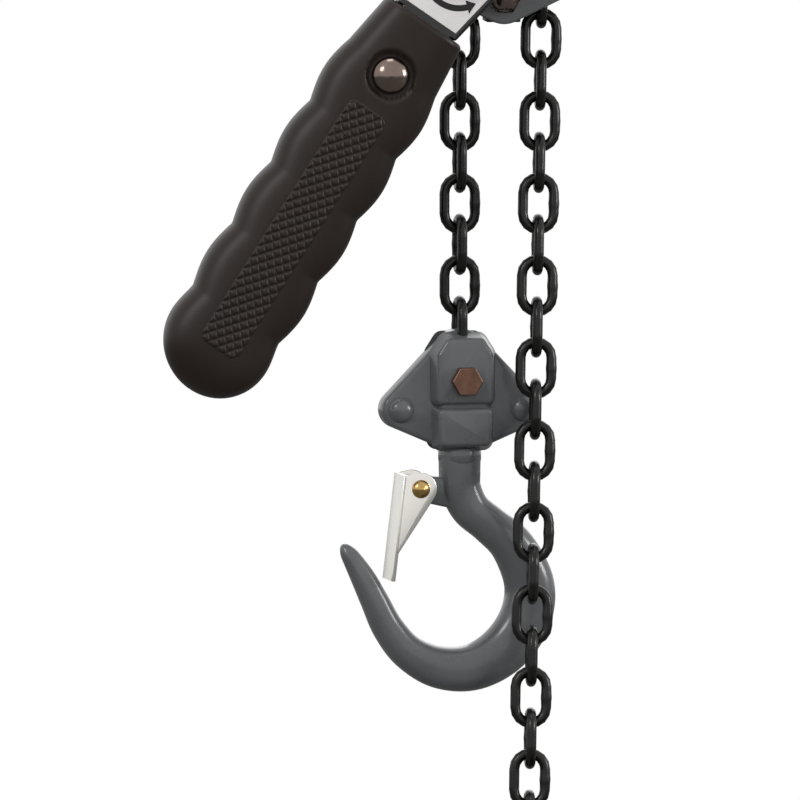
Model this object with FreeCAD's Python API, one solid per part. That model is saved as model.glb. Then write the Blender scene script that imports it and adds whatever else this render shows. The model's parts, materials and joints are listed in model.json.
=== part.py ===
import FreeCAD, Part
import os
from math import acos, atan2, cos, degrees, pi, radians, sin, sqrt, tan

V = FreeCAD.Vector
X_AXIS = V(1, 0, 0)
Y_AXIS = V(0, 1, 0)
Z_AXIS = V(0, 0, 1)
CENTRE = V(0, 0, 0)

# Mini lever chain hoist.  Millimetres.  The origin is the seat of the top hook, +Z is up along the
# line of pull, +X points from the load chain to the tail chain, and -Y is the lever's side.

# ---- driving dimensions -------------------------------------------------------------------------
# chain
PITCH = 12.0                    # inside length that each link adds to the chain
WIRE = 3.0                      # wire diameter of the chain
LINK_WIDTH = 12.0               # outside width of a link
LINK_PLAY = 0.1                 # slack in each joint of the chain
POCKETS = 3                     # pockets of the load sheave
LOAD_LINKS = 12                 # links from the sheave to the load block, the end link included
BLOCK_TWIST = 8.0               # turn of the hanging load block about the line of pull
TAIL_LINKS = 23                 # straight links of the slack chain
TAIL_LEAN = V(-4.0, -13.7, -206.0)      # direction in which the slack chain hangs
HANK_LINKS = 9                  # links in one run of the stored chain
HANK_SIDE = 3                   # the stored chain is a bundle of this many runs each way
TIE_WIDTH = 8.0
TIE_THICKNESS = 1.6
END_RING_BEND = 9.0             # stop ring in the last link, wire's centre line

# hook and its block
SEAT_REACH = 78.3               # from the block's bolt to the hook's seat
HOOK_THICKNESS = 12.0
BOWL_RADIUS = 17.2
BOWL_X = -3.5                   # centre of the bowl, from the shank's axis
HOOK_BACK_RADIUS = 28.3         # outside of the bowl
HOOK_BACK_RISE = 15.0           # its centre, above the seat
SHANK_RADIUS = 5.7
SWIVEL_RADIUS = 4.0             # shank inside the block
COLLAR_RADIUS = 6.5
SWIVEL_NUT_RADIUS = 6.2
LATCH_PIVOT = (-13.0, -31.5)    # from the block's bolt
LATCH_EAR_RADIUS = 3.8
LATCH_EAR_THICKNESS = 6.0
LATCH_WALL = 1.0
LATCH_SPINE = ((-17.0, -27.5), (-20.6, -58.4))  # inner face, from above the ear to the hook's point
LATCH_CHEEK_FOOT = -50.0        # where the cheeks run out into the spine
LATCH_RIVET_RADIUS = 2.0
BLOCK_HALF = 9.0                # depth of one half of the load block
BLOCK_FLANGE = 4.0
BLOCK_BOSS = 8.5                # half width of the boss
BLOCK_TOP = 15.0                # top edge, above the bolt
BLOCK_BOTTOM = -19.5
BOSS_DROP = 7.0                 # top of the boss, below the block's top edge
CHAMBER_FLOOR = 3.1             # wall under the swivel nut
CHAMBER_HEIGHT = 8.0
BLOCK_RIVET = (16.2, -9.5)      # from the bolt
BLOCK_LOBE = (18.2, -8.6, 5.6)  # centre and radius
BLOCK_FOOT = (7.5, -15.6, 3.4)
RIVET_RADIUS = 2.0
RIVET_HEAD_RADIUS = 4.2
BLOCK_BOLT_RADIUS = 2.5
BOLT_FLATS = 8.0

# head
PIN_RISE = 38.0                 # yoke pin above the sheave's axis
PLATE_GAP = 17.4                # between the side plates
PLATE = 3.0
PLATE_CORNER = 7.5
YOKE_CORNER = 9.0
STAYS = ((0, -29.5), (28, -16), (28, 18), (-28, 18), (-28, -16))   # from the sheave's axis
STAY_RADIUS = 2.5
STAY_SHOULDER_RADIUS = 4.0
CAP_NUT_FLATS = 8.0
YOKE_PIN_RADIUS = 4.0
TOP_BLOCK_HALF = 8.3
COVER_RADIUS = 25.5             # brake cover
COVER_DEPTH = 10.3
COVER_WALL = 1.5
COVER_SCREW_REACH = 20.5        # from the sheave's axis
CASE_SCREW_RISE = 16.4
GEAR_CASE_DEPTH = 14.0
GEAR_CASE_RADIUS = 13.6
SCREW_RADIUS = 1.2

# hoisting gear
MODULE = 0.7
PRESSURE_ANGLE = 25.0
WHEEL_TEETH = 30
PINION_TEETH = 10
ADDENDUM = 0.8                  # in modules
DEDENDUM = 1.05
BACKLASH = 0.16
GEAR_WIDTH = 4.0
SHAFT_RADIUS = 2.0
PIVOT_PIN_RADIUS = 1.5
SHEAVE_CORE = 4.4
SHEAVE_TOOTH_RADIUS = 10.3
SHEAVE_RIM_RADIUS = 15.0
JOURNAL_RADIUS = 6.0

# brake
DISC_RADIUS = 12.0
RATCHET_TEETH = 12
RATCHET_RADIUS = 14.0
RATCHET_ROOT = 12.0
PAWL_PIN_REACH = 21.5
PAWL_PIN_TURN = -38.0
PAWL_TIP_REACH = 13.9
PAWL_TIP_TURN = -5.5
CHANGE_TEETH = 12
CHANGE_RADIUS = 11.0
CHANGE_ROOT = 8.3
PAWL_ARM = 16.8                 # change pawl
PAWL_ARM_TURN = 33.4
SELECTOR_SPINDLE = 3.0

# lever
LEVER_ANGLE = 34.6              # from hanging straight down, towards -X
LEVER_LENGTH = 169.0
HOUSING_RADIUS = 22.0
HOUSING_FRONT_RISE = 27.3
HOUSING_BACK_RISE = 11.5
SHELL_WALL = 1.5
NECK_TOP = 16.6                 # half width that the neck's sides would have at the hub
NECK_BOTTOM = 10.0              # half width at the grip
NECK_SPREAD = 4.0
ARM_WIDTH = 17.0
ARM_END = 140.0
LEVER_RIVETS = ((-17.6, 6.0), (17.6, 6.0), (0, 18.6))
GRIP_TOP = 43.0                 # from the sheave's axis to the grip's upper end
GRIP_NOTCHES = (59.5, 80.5, 101.5, 122.5, 143.5)
GRIP_WAIST = 15.0               # half width at a notch
GRIP_BULGE = 16.6               # half width between notches
GRIP_SHOULDER = 12.9            # half width at the upper end
GRIP_END_RADIUS = 16.3
GRIP_FRONT_RISE = 31.3
GRIP_BACK_RISE = 6.8
GRIP_SCREW_REACH = 61.5
GRIP_SCREW_HEAD = 5.2
GRIP_LEAN = 2.1                 # turn of the grip below its screw, towards the load chain
SELECTOR_REACH = 26.5
SELECTOR_SWING = 25.0
KNOB_RADIUS = 19.5
KNOB_WIDTH = 10.5
KNOB_LOBES = 9

# clearances
RUNNING = 0.1                   # a shaft in its bore, on the radius
GAP = 0.3                       # pieces that pass each other

# ---- values worked out from them ----------------------------------------------------------------
WIRE_RADIUS = WIRE / 2
LINK_BEND = LINK_WIDTH / 2 - WIRE_RADIUS            # bend radius of the wire's centre line
LINK_INSIDE = PITCH + LINK_PLAY
LINK_OUTSIDE = LINK_INSIDE + 2 * WIRE
LINK_ARM = PITCH / 2 + WIRE_RADIUS                  # from a link's centre to its wire's end
LINK_TURN = pi / POCKETS                            # from one link to the next on the sheave
FLAT_REACH = (LINK_ARM - LINK_BEND + (LINK_BEND - WIRE) * cos(LINK_TURN / 2)
              + LINK_ARM * cos(LINK_TURN)) / sin(LINK_TURN)
UPRIGHT_REACH = (FLAT_REACH * cos(LINK_TURN) + (LINK_BEND - WIRE) * sin(LINK_TURN / 2)
                 + LINK_ARM * sin(LINK_TURN))
SHEAVE_FLOOR = FLAT_REACH - WIRE_RADIUS - 0.3
DOWN = V(0, 0, -1)
TAIL = V(TAIL_LEAN).normalize()
PLATE_IN = PLATE_GAP / 2
PLATE_OUT = PLATE_IN + PLATE
HOUSING_FRONT = -PLATE_OUT - HOUSING_FRONT_RISE
HOUSING_BACK = -PLATE_OUT - HOUSING_BACK_RISE
GRIP_FRONT = -PLATE_OUT - GRIP_FRONT_RISE
GRIP_BACK = -PLATE_OUT - GRIP_BACK_RISE
BOWL_Z = -(SEAT_REACH - sqrt(BOWL_RADIUS ** 2 - BOWL_X ** 2))
HOOK_BACK_Z = HOOK_BACK_RISE - SEAT_REACH
GEAR_CENTRES = MODULE * (WHEEL_TEETH + PINION_TEETH) / 2
FIRST_STAGE = PLATE_OUT + 1.2                       # small pinions and load gear
SECOND_STAGE = FIRST_STAGE + GEAR_WIDTH + 0.6
SHAFT_FRONT = -PLATE_OUT - 40.5
CHANGE_FRONT = HOUSING_FRONT + 5.0
CHANGE_BACK = HOUSING_BACK - 5.2
NUT_TOP = BLOCK_BOTTOM + CHAMBER_FLOOR + CHAMBER_HEIGHT
NUT_BOTTOM = BLOCK_BOTTOM + CHAMBER_FLOOR + 0.2


def next_centre(centre, direction, following, bent_flat):
    """Centre of the next link.  bent_flat: this link lies in the bend's plane, the next one across it."""
    middle = (direction + following).normalize()
    across_bend = following if bent_flat else direction
    in_bend = direction if bent_flat else following
    reach = across_bend * LINK_ARM + in_bend * (LINK_ARM - LINK_BEND) + middle * LINK_BEND
    return centre + reach - middle * WIRE


def on_sheave(turn, reach):
    """Point at an angle and a distance from the sheave's axis, and the direction of a descent there."""
    side = 1 if cos(turn) > 0 else -1
    return V(reach * cos(turn), 0, reach * sin(turn)), V(side * sin(turn), 0, -side * cos(turn))


LAST_TURN = pi / 2 + LINK_TURN                      # the link that leads down to the load
FIRST_LOAD_LINK = next_centre(*on_sheave(LAST_TURN, UPRIGHT_REACH), DOWN, True)
FIRST_TAIL_LINK = next_centre(*on_sheave(pi - LAST_TURN, UPRIGHT_REACH), TAIL, True)
LOAD_X = FIRST_LOAD_LINK.x                          # load chain, from the sheave's axis
HUB = V(-LOAD_X, 0, -(SEAT_REACH + PIN_RISE))
END_LINK_DROP = (LOAD_LINKS - 1) * PITCH - FIRST_LOAD_LINK.z
BOLT_DROP = END_LINK_DROP + LINK_INSIDE / 2 - BLOCK_BOLT_RADIUS - LINK_PLAY / 2
BLOCK_BOLT = HUB + V(LOAD_X, 0, -BOLT_DROP)
YOKE_PIN = HUB + V(LOAD_X, 0, PIN_RISE)

NODES = {}


# ---- plain shapes -------------------------------------------------------------------------------
def across(radius, start, end, x=0.0, z=0.0):
    """Cylinder along Y."""
    return Part.makeCylinder(radius, end - start, V(x, start, z), Y_AXIS)


def upright(radius, low, high, x=0.0, y=0.0):
    """Cylinder along Z."""
    return Part.makeCylinder(radius, high - low, V(x, y, low), Z_AXIS)


def block(x, y, z):
    """Box between three pairs of limits."""
    return Part.makeBox(x[1] - x[0], y[1] - y[0], z[1] - z[0], V(x[0], y[0], z[0]))


def prism(points, start, end):
    """Polygon in the XZ plane, carried along Y."""
    corners = [V(x, start, z) for x, z in points]
    face = Part.Face(Part.makePolygon(corners + corners[:1]))
    return face.extrude(V(0, end - start, 0))


def hexagon(flats, start, end, x=0.0, z=0.0, turn=0.0):
    """Hexagonal bar along Y."""
    reach = flats / sqrt(3)
    turns = [radians(60 * k + turn) for k in range(6)]
    return prism([(x + reach * cos(a), z + reach * sin(a)) for a in turns], start, end)


def rounded(circles, start, end):
    """Plate along Y whose outline is the tight band round circles given anticlockwise."""
    count = len(circles)
    normals = []
    for index in range(count):
        x0, z0, r0 = circles[index]
        x1, z1, r1 = circles[(index + 1) % count]
        heading = atan2(z1 - z0, x1 - x0)
        normals.append(heading - acos((r0 - r1) / sqrt((x1 - x0) ** 2 + (z1 - z0) ** 2)))
    edges = []
    for index in range(count):
        x0, z0, r0 = circles[index]
        x1, z1, r1 = circles[(index + 1) % count]
        first = normals[index - 1]
        last = first + (normals[index] - first) % (2 * pi)
        rim = [V(x0 + r0 * cos(a), start, z0 + r0 * sin(a)) for a in (first, (first + last) / 2, last)]
        edges.append(Part.Arc(*rim).toShape())
        side = V(x1 + r1 * cos(last), start, z1 + r1 * sin(last))
        edges.append(Part.LineSegment(rim[2], side).toShape())
    return Part.Face(Part.Wire(edges)).extrude(V(0, end - start, 0))


def dome(radius, height, y, toward, x=0.0, z=0.0):
    """Low round cap on a plane across Y, standing out toward +1 or -1."""
    ball = (radius ** 2 + height ** 2) / (2 * height)
    sphere = Part.makeSphere(ball, V(x, y - toward * (ball - height), z))
    low, high = sorted((y, y + toward * height))
    return sphere.common(across(radius + 1, low, high, x, z))


def turned(shape, angle, centre=CENTRE, axis=Y_AXIS):
    """Copy of a shape, turned about an axis."""
    copy = shape.copy()
    copy.rotate(centre, axis, angle)
    return copy


def moved(shape, offset):
    """Copy of a shape, moved."""
    copy = shape.copy()
    copy.translate(offset)
    return copy


def joined(first, *others):
    """One solid from several that meet."""
    shape = first
    for other in others:
        shape = shape.fuse(other)
    return shape.removeSplitter()


def keep(name, *solids):
    """Give solids to a named node."""
    NODES.setdefault(name, []).extend(solids)


# ---- chain --------------------------------------------------------------------------------------
def make_link():
    """One link, long way along Z and flat in the XZ plane, centred."""
    half = LINK_INSIDE / 2 + WIRE_RADIUS - LINK_BEND
    sides = [upright(WIRE_RADIUS, -half, half, x) for x in (-LINK_BEND, LINK_BEND)]
    ring = Part.makeTorus(LINK_BEND, WIRE_RADIUS, V(0, 0, half), Y_AXIS)
    top = ring.common(block((-LINK_WIDTH, LINK_WIDTH), (-WIRE, WIRE), (half, half + LINK_WIDTH)))
    bottom = turned(top, 180)
    return joined(sides[0], sides[1], top, bottom)


LINK = make_link()


def placed_link(centre, direction, quarter, twist=0.0):
    """The link at a place.  quarter is 0 for a link flat in XZ and 1 for one turned by 90 degrees."""
    link = turned(LINK, 90 * quarter + twist, CENTRE, Z_AXIS)
    axis = DOWN.cross(direction)
    if axis.Length > 1e-6:
        link.rotate(CENTRE, axis, degrees(DOWN.getAngle(direction)))
    link.translate(centre)
    return link


def make_chain_on_sheave():
    """Three links over the sheave, and the first hanging one on each side."""
    for number in (-1, 0, 1):
        turn = pi / 2 + number * LINK_TURN
        centre, travel = on_sheave(turn, UPRIGHT_REACH if number else FLAT_REACH)
        keep("sheave_chain", placed_link(HUB + centre, travel, 0 if number else 1))
    keep("sheave_chain", placed_link(HUB + FIRST_LOAD_LINK, DOWN, 1))
    keep("sheave_chain", placed_link(HUB + FIRST_TAIL_LINK, TAIL, 1))


def make_load_chain():
    """Hanging links that turn little by little into the load block's plane."""
    for number in range(2, LOAD_LINKS + 1):
        centre = HUB + FIRST_LOAD_LINK + DOWN * ((number - 1) * PITCH)
        twist = BLOCK_TWIST * number / LOAD_LINKS
        node = "end_link" if number == LOAD_LINKS else "load_chain"
        keep(node, placed_link(centre, DOWN, number % 2, twist))


def hank_directions():
    """Directions of the stored links: straight runs joined by folds of 45, 90 and 45 degrees."""
    directions = []
    for row in range(HANK_SIDE):
        for column in range(HANK_SIDE):
            heading = DOWN * (-1) ** (row * HANK_SIDE + column)
            directions += [heading] * HANK_LINKS
            last_column = column == HANK_SIDE - 1
            if last_column and row == HANK_SIDE - 1:
                break
            side = V(0, -1, 0) if last_column else X_AXIS * (-1) ** row
            directions.append((heading + side).normalize())
            directions.append((side - heading).normalize())
    return directions


def make_tail_chain():
    """The slack chain: straight down from the sheave, then folded into a tied bundle."""
    centre = HUB + FIRST_TAIL_LINK
    direction = TAIL
    for number in range(2, TAIL_LINKS + 1):
        centre = centre + TAIL * PITCH
        keep("tail_chain", placed_link(centre, TAIL, number % 2))
    places = []
    for number, following in enumerate(hank_directions(), TAIL_LINKS + 1):
        fold_along_y = abs(direction.y + following.y) > abs(direction.x + following.x)
        last_is_flat = (number - 1) % 2 == 0
        centre = next_centre(centre, direction, following, last_is_flat != fold_along_y)
        direction = following
        places.append((centre, direction))
        keep("tail_chain", placed_link(centre, direction, number % 2))
    return places


def make_tail_end(places):
    """Stop ring in the last link, and the tie round the middle of the bundle."""
    centre, direction = places[-1]
    ring_centre = centre + direction * (LINK_INSIDE / 2 - WIRE_RADIUS + END_RING_BEND - 0.1)
    lies_flat = len(places) + TAIL_LINKS
    normal = Y_AXIS if lies_flat % 2 else X_AXIS
    keep("tail_end_ring", Part.makeTorus(END_RING_BEND, WIRE_RADIUS, ring_centre, normal))
    xs = [place.x for place, _ in places]
    ys = [place.y for place, _ in places]
    zs = [place.z for place, _ in places]
    margin = LINK_WIDTH / 2 + GAP
    middle = (min(zs) + max(zs)) / 2
    corners = [(min(xs), -max(ys)), (max(xs), -max(ys)), (max(xs), -min(ys)), (min(xs), -min(ys))]
    low = -(TIE_WIDTH / 2)
    outer = rounded([(x, y, margin + TIE_THICKNESS) for x, y in corners], low, -low)
    inner = rounded([(x, y, margin) for x, y in corners], low, -low)
    band = turned(outer.cut(inner), 90, CENTRE, X_AXIS)
    keep("hank_tie", moved(band, V(0, 0, middle)))


# ---- hook, latch and block, each about the block's bolt, hanging down ------------------------------
def make_hook():
    """Forged hook with its neck, latch ear, collar and swivelling shank."""
    half = HOOK_THICKNESS / 2
    past = half + 1
    body = across(HOOK_BACK_RADIUS, -half, half, 0, HOOK_BACK_Z)
    neck = prism([(-5.6, -30), (5.6, -30), (8, -38), (14, -52), (-7.0, -34.6)], -half, half)
    shoulder = prism([(5.6, -20), (6.0, -29), (7.8, -36.4), (12, -38.4), (16.5, -40.8), (22.2, -47.0),
                      (27.4, -56.2), (40, -60), (40, -20)], -past, past)
    mouth = prism([(-20.6, -60.5), (-23.4, -56.6), (-45, -36), (-45, -10), (-16, -10), (-5.6, -22),
                   (-5.6, -33), (-7.0, -34.6), (11.6, -53.6), (-3, -62)], -past, past)
    point = rounded([(-24.4, -66.5, 4.4), (-20.6, -63.6, 0.6), (-33.0, -50.8, 2.2)], -half, half)
    bowl = across(BOWL_RADIUS, -past, past, BOWL_X, BOWL_Z)
    shape = joined(body.cut(shoulder).cut(mouth), neck, point).cut(bowl)
    pivot_x, pivot_z = LATCH_PIVOT
    ear = rounded([(pivot_x, pivot_z, LATCH_EAR_RADIUS), (-1.0, pivot_z - 1, LATCH_EAR_RADIUS)],
                  -LATCH_EAR_THICKNESS / 2, LATCH_EAR_THICKNESS / 2)
    hole = across(LATCH_RIVET_RADIUS, -past, past, pivot_x, pivot_z)
    shank = upright(SHANK_RADIUS, -34, -22)
    collar = upright(COLLAR_RADIUS, -24.5, BLOCK_BOTTOM - GAP)
    swivel = upright(SWIVEL_RADIUS, -24.5, NUT_TOP + 0.4)
    return joined(shape, ear, shank, collar, swivel).cut(hole)


def make_latch():
    """Folded latch: a spine that reaches to the hook's point, with a cheek and an eye on each side."""
    pivot_x, pivot_z = LATCH_PIVOT
    inside = HOOK_THICKNESS / 2 + 0.4
    outside = inside + LATCH_WALL
    (top_x, top_z), (foot_x, foot_z) = LATCH_SPINE
    slope = (foot_x - top_x) / (foot_z - top_z)
    cheek_foot = (top_x + slope * (LATCH_CHEEK_FOOT - top_z), LATCH_CHEEK_FOOT)
    cheeks = rounded([(top_x, top_z - LATCH_WALL, LATCH_WALL), (*cheek_foot, LATCH_WALL),
                      (pivot_x, pivot_z, LATCH_EAR_RADIUS + LATCH_WALL)], -outside, outside)
    cheeks = cheeks.cut(block((-60, 60), (-inside, inside), (-99, 0)))
    spine = prism([(top_x, top_z), (top_x - LATCH_WALL, top_z), (foot_x - LATCH_WALL, foot_z),
                   (foot_x, foot_z)], -outside, outside)
    hole = across(LATCH_RIVET_RADIUS + RUNNING, -outside, outside, pivot_x, pivot_z)
    return joined(cheeks, spine).cut(hole)


def make_latch_rivet():
    """Rivet with two domed heads."""
    x, z = LATCH_PIVOT
    reach = HOOK_THICKNESS / 2 + 0.4 + LATCH_WALL + 0.1
    shaft = across(LATCH_RIVET_RADIUS, -reach, reach, x, z)
    return joined(shaft, dome(3.4, 1.4, reach, 1, x, z), dome(3.4, 1.4, -reach, -1, x, z))


def make_latch_spring():
    """Torsion spring: coils each side of the ear and a leg behind the latch."""
    x, z = LATCH_PIVOT
    wire = 0.4
    coils = []
    for side in (-1, 1):
        for turn in range(3):
            y = side * (LATCH_EAR_THICKNESS / 2 + 0.5 + turn * 2 * wire * 0.95)
            coils.append(Part.makeTorus(2.9, wire, V(x, y, z), Y_AXIS))
    leg = Part.makeCylinder(wire, 14, V(x - 2.9, 4.6, z), V(-0.05, 0, -1))
    other = Part.makeCylinder(wire, 14, V(x - 2.9, -4.6, z), V(-0.05, 0, -1))
    front = joined(coils[0], coils[1], coils[2], other)
    rear = joined(coils[3], coils[4], coils[5], leg)
    return [front, rear]


def make_block_half(depth, pocket):
    """Front half of a hook block: flange, boss, nut chamber and, for a chain, the link's pocket."""
    rivet_x, rivet_z = BLOCK_RIVET
    right = [BLOCK_FOOT, BLOCK_LOBE]
    left = [(-x, z, radius) for x, z, radius in reversed(right)]
    flange = rounded(left + right + [(0, BLOCK_TOP - BLOCK_BOSS, BLOCK_BOSS)], -BLOCK_FLANGE, 0)
    boss = block((-BLOCK_BOSS, BLOCK_BOSS), (-depth, 0), (BLOCK_BOTTOM, BLOCK_TOP - BOSS_DROP))
    shape = flange.fuse(boss)
    if pocket:
        side = LINK_WIDTH / 2 + 0.8
        floor = -(LINK_OUTSIDE - LINK_INSIDE / 2) + BLOCK_BOLT_RADIUS - 2.0
        shape = shape.cut(block((-side, side), (-side, 1), (floor + 1.4, BLOCK_TOP + 1)))
    chamber = upright(SWIVEL_NUT_RADIUS + GAP, BLOCK_BOTTOM + CHAMBER_FLOOR, NUT_TOP + 0.6)
    shape = shape.cut(chamber)
    shape = shape.cut(upright(SWIVEL_RADIUS + RUNNING, BLOCK_BOTTOM - 1, NUT_TOP))
    for side in (-1, 1):
        shape = shape.cut(across(RIVET_RADIUS, -depth, 1, side * rivet_x, rivet_z))
    return shape.removeSplitter()


def make_block_rivets():
    """Two rivets through the block's lobes."""
    x, z = BLOCK_RIVET
    rivets = []
    for side in (-1, 1):
        shaft = across(RIVET_RADIUS, -BLOCK_FLANGE, BLOCK_FLANGE, side * x, z)
        front = dome(RIVET_HEAD_RADIUS, 2.6, -BLOCK_FLANGE, -1, side * x, z)
        rear = dome(RIVET_HEAD_RADIUS, 2.6, BLOCK_FLANGE, 1, side * x, z)
        rivets.append(joined(shaft, front, rear))
    return rivets


def make_hook_end(prefix, depth, pocket, place):
    """Block, hook and latch of one end, put where place says."""
    bore = YOKE_PIN_RADIUS if prefix == "top" else BLOCK_BOLT_RADIUS
    half = make_block_half(depth, pocket).cut(across(bore, -depth - 1, 1))
    nut = upright(SWIVEL_NUT_RADIUS, NUT_BOTTOM, NUT_TOP).cut(upright(SWIVEL_RADIUS, NUT_BOTTOM, NUT_TOP))
    name = prefix + "_block"
    keep(name + "_front", place(half))
    keep(name + "_back", place(turned(half, 180, CENTRE, Z_AXIS)))
    keep(name + "_rivets", *[place(rivet) for rivet in make_block_rivets()])
    keep(prefix + "_hook", place(make_hook()))
    keep(prefix + "_swivel_nut", place(nut))
    keep(prefix + "_latch", place(make_latch()))
    keep(prefix + "_latch_rivet", place(make_latch_rivet()))
    keep(prefix + "_latch_spring", *[place(half_spring) for half_spring in make_latch_spring()])


def at_load_end(shape):
    """Hang a piece from the load chain, turned with the chain's twist."""
    return moved(turned(shape, BLOCK_TWIST, CENTRE, Z_AXIS), BLOCK_BOLT)


def at_top_end(shape):
    """Stand a piece upside down on the yoke pin."""
    return moved(turned(shape, 180), YOKE_PIN)


def make_block_bolt():
    """Hexagon bolt of the load block, and its nut."""
    head = hexagon(BOLT_FLATS, -BLOCK_HALF - 3.2, -BLOCK_HALF)
    shaft = across(BLOCK_BOLT_RADIUS, -BLOCK_HALF, BLOCK_HALF + 5)
    nut = hexagon(BOLT_FLATS, BLOCK_HALF, BLOCK_HALF + 4).cut(across(BLOCK_BOLT_RADIUS, 0, 30))
    keep("load_block_bolt", at_load_end(joined(head, shaft)))
    keep("load_block_nut", at_load_end(nut))


# ---- head ---------------------------------------------------------------------------------------
def at_hub(shape):
    """Move a piece that is drawn about the sheave's axis."""
    return moved(shape, HUB)


def make_plates():
    """Two side plates with the stays that hold them apart and their cap nuts."""
    corners = [(x, z, PLATE_CORNER) for x, z in STAYS]
    corners.insert(3, (LOAD_X, PIN_RISE, YOKE_CORNER))
    plate = rounded(corners, -PLATE_OUT, -PLATE_IN)
    plate = plate.cut(across(JOURNAL_RADIUS + 2, -20, 20))
    plate = plate.cut(across(YOKE_PIN_RADIUS, -20, 20, LOAD_X, PIN_RISE))
    for x, z in STAYS:
        plate = plate.cut(across(STAY_RADIUS, -20, 20, x, z))
    rear = moved(plate, V(0, PLATE_OUT + PLATE_IN, 0))
    for x in (-GEAR_CENTRES, GEAR_CENTRES):
        rear = rear.cut(across(PIVOT_PIN_RADIUS, -20, 20, x, 0))
    for x, z in pawl_pins():
        plate = plate.cut(across(PIVOT_PIN_RADIUS - 0.3, -20, 20, x, z))
    for x, z in case_screws():
        rear = rear.cut(across(SCREW_RADIUS, -20, 20, x, z))
    for x, z in cover_screws():
        plate = plate.cut(across(SCREW_RADIUS, -20, 20, x, z))
    keep("front_plate", at_hub(plate))
    keep("back_plate", at_hub(rear))
    for x, z in STAYS:
        shoulder = across(STAY_SHOULDER_RADIUS, -PLATE_IN, PLATE_IN, x, z)
        shaft = across(STAY_RADIUS, -PLATE_OUT - 3.2, PLATE_OUT + 3.2, x, z)
        keep("stay_bolts", at_hub(joined(shoulder, shaft)))
        for toward in (-1, 1):
            nut = cap_nut(x, z)
            keep("cap_nuts", at_hub(nut if toward < 0 else nut.mirror(CENTRE, Y_AXIS)))


def cap_nut(x, z):
    """Domed nut on the front plate."""
    base = hexagon(CAP_NUT_FLATS, -PLATE_OUT - 4, -PLATE_OUT, x, z)
    cap = dome(CAP_NUT_FLATS / 2 - 0.2, 3.0, -PLATE_OUT - 4, -1, x, z)
    return joined(base, cap).cut(across(STAY_RADIUS, -PLATE_OUT - 3.2, 0, x, z))


def pawl_pins():
    """Places of the two ratchet pawls' pins."""
    turns = [radians(PAWL_PIN_TURN + 180 * k) for k in range(2)]
    return [(PAWL_PIN_REACH * cos(a), PAWL_PIN_REACH * sin(a)) for a in turns]


def cover_screws():
    """Places of the brake cover's screws."""
    turns = [radians(10 + 90 * k) for k in range(4)]
    return [(COVER_SCREW_REACH * cos(a), COVER_SCREW_REACH * sin(a)) for a in turns]


def case_screws():
    """Places of the gear case's screws."""
    return [(x, z) for x in (-9.0, 9.0) for z in (-CASE_SCREW_RISE, CASE_SCREW_RISE)]


def make_frame_parts():
    """Bushes, chain guide, covers, their screws, pivot pins and the yoke pin."""
    for side in (-1, 1):
        bush = across(JOURNAL_RADIUS + 2, PLATE_IN, PLATE_OUT).cut(across(JOURNAL_RADIUS + RUNNING, 0, 20))
        keep("sheave_bushes", at_hub(bush if side > 0 else bush.mirror(CENTRE, Y_AXIS)))
    x, z = STAYS[0]
    guide = block((-5.0, 5.0), (-PLATE_IN + GAP, PLATE_IN - GAP), (-36.5, -17.5))
    guide = guide.cut(across(STAY_SHOULDER_RADIUS, -20, 20, x, z))
    guide = guide.cut(across(SHEAVE_RIM_RADIUS + 1, -20, 20))
    keep("chain_guide", at_hub(guide))
    cover_front = -PLATE_OUT - COVER_DEPTH
    cover = across(COVER_RADIUS, cover_front, -PLATE_OUT)
    cover = cover.cut(across(COVER_RADIUS - COVER_WALL, cover_front + COVER_WALL, -PLATE_OUT))
    for x, z in cover_screws():
        cover = cover.fuse(across(3.0, cover_front, -PLATE_OUT, x, z))
    for x, z in cover_screws():
        cover = cover.cut(across(SCREW_RADIUS, -50, 0, x, z))
        cover = cover.cut(across(2.2, -50, cover_front + 0.8, x, z))
        head = joined(across(2.2, cover_front, cover_front + 0.8, x, z),
                      across(SCREW_RADIUS, cover_front, -PLATE_IN - 0.5, x, z))
        keep("cover_screws", at_hub(head))
    cover = cover.cut(across(9.0, -50, 0))
    keep("brake_cover", at_hub(cover.removeSplitter()))
    case_back = PLATE_OUT + GEAR_CASE_DEPTH
    lobes = [(-GEAR_CENTRES, 0), (GEAR_CENTRES, 0)]
    case = rounded([(x, z, GEAR_CASE_RADIUS) for x, z in lobes], PLATE_OUT, case_back)
    ears = [across(3.4, PLATE_OUT, PLATE_OUT + 3, x, z) for x, z in case_screws()]
    case = joined(case, *ears)
    inner = rounded([(x, z, GEAR_CASE_RADIUS - COVER_WALL) for x, z in lobes], PLATE_OUT,
                    case_back - COVER_WALL)
    case = case.cut(inner)
    for x, z in case_screws():
        case = case.cut(across(SCREW_RADIUS, 0, 50, x, z))
        head = joined(across(2.4, PLATE_OUT + 3, PLATE_OUT + 4.8, x, z),
                      across(SCREW_RADIUS, PLATE_IN + 0.5, PLATE_OUT + 3, x, z))
        keep("case_screws", at_hub(head))
    keep("gear_case", at_hub(case.removeSplitter()))
    for x in (-GEAR_CENTRES, GEAR_CENTRES):
        keep("gear_pins", at_hub(across(PIVOT_PIN_RADIUS, PLATE_IN, case_back - COVER_WALL, x, 0)))
    for x, z in pawl_pins():
        pin = across(PIVOT_PIN_RADIUS - 0.3, cover_front + COVER_WALL, -PLATE_IN, x, z)
        keep("pawl_pins", at_hub(pin))
    pin = across(YOKE_PIN_RADIUS, -PLATE_OUT, PLATE_OUT, LOAD_X, PIN_RISE)
    heads = [dome(YOKE_PIN_RADIUS + 2.5, 2.6, side * PLATE_OUT, side, LOAD_X, PIN_RISE) for side in (-1, 1)]
    keep("yoke_pin", at_hub(joined(pin, *heads)))


# ---- hoisting gear --------------------------------------------------------------------------------
def involute(base, radius):
    """Angle that the involute of a base circle has turned by a radius."""
    swing = sqrt((radius / base) ** 2 - 1)
    return swing - atan2(swing, 1)


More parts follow.
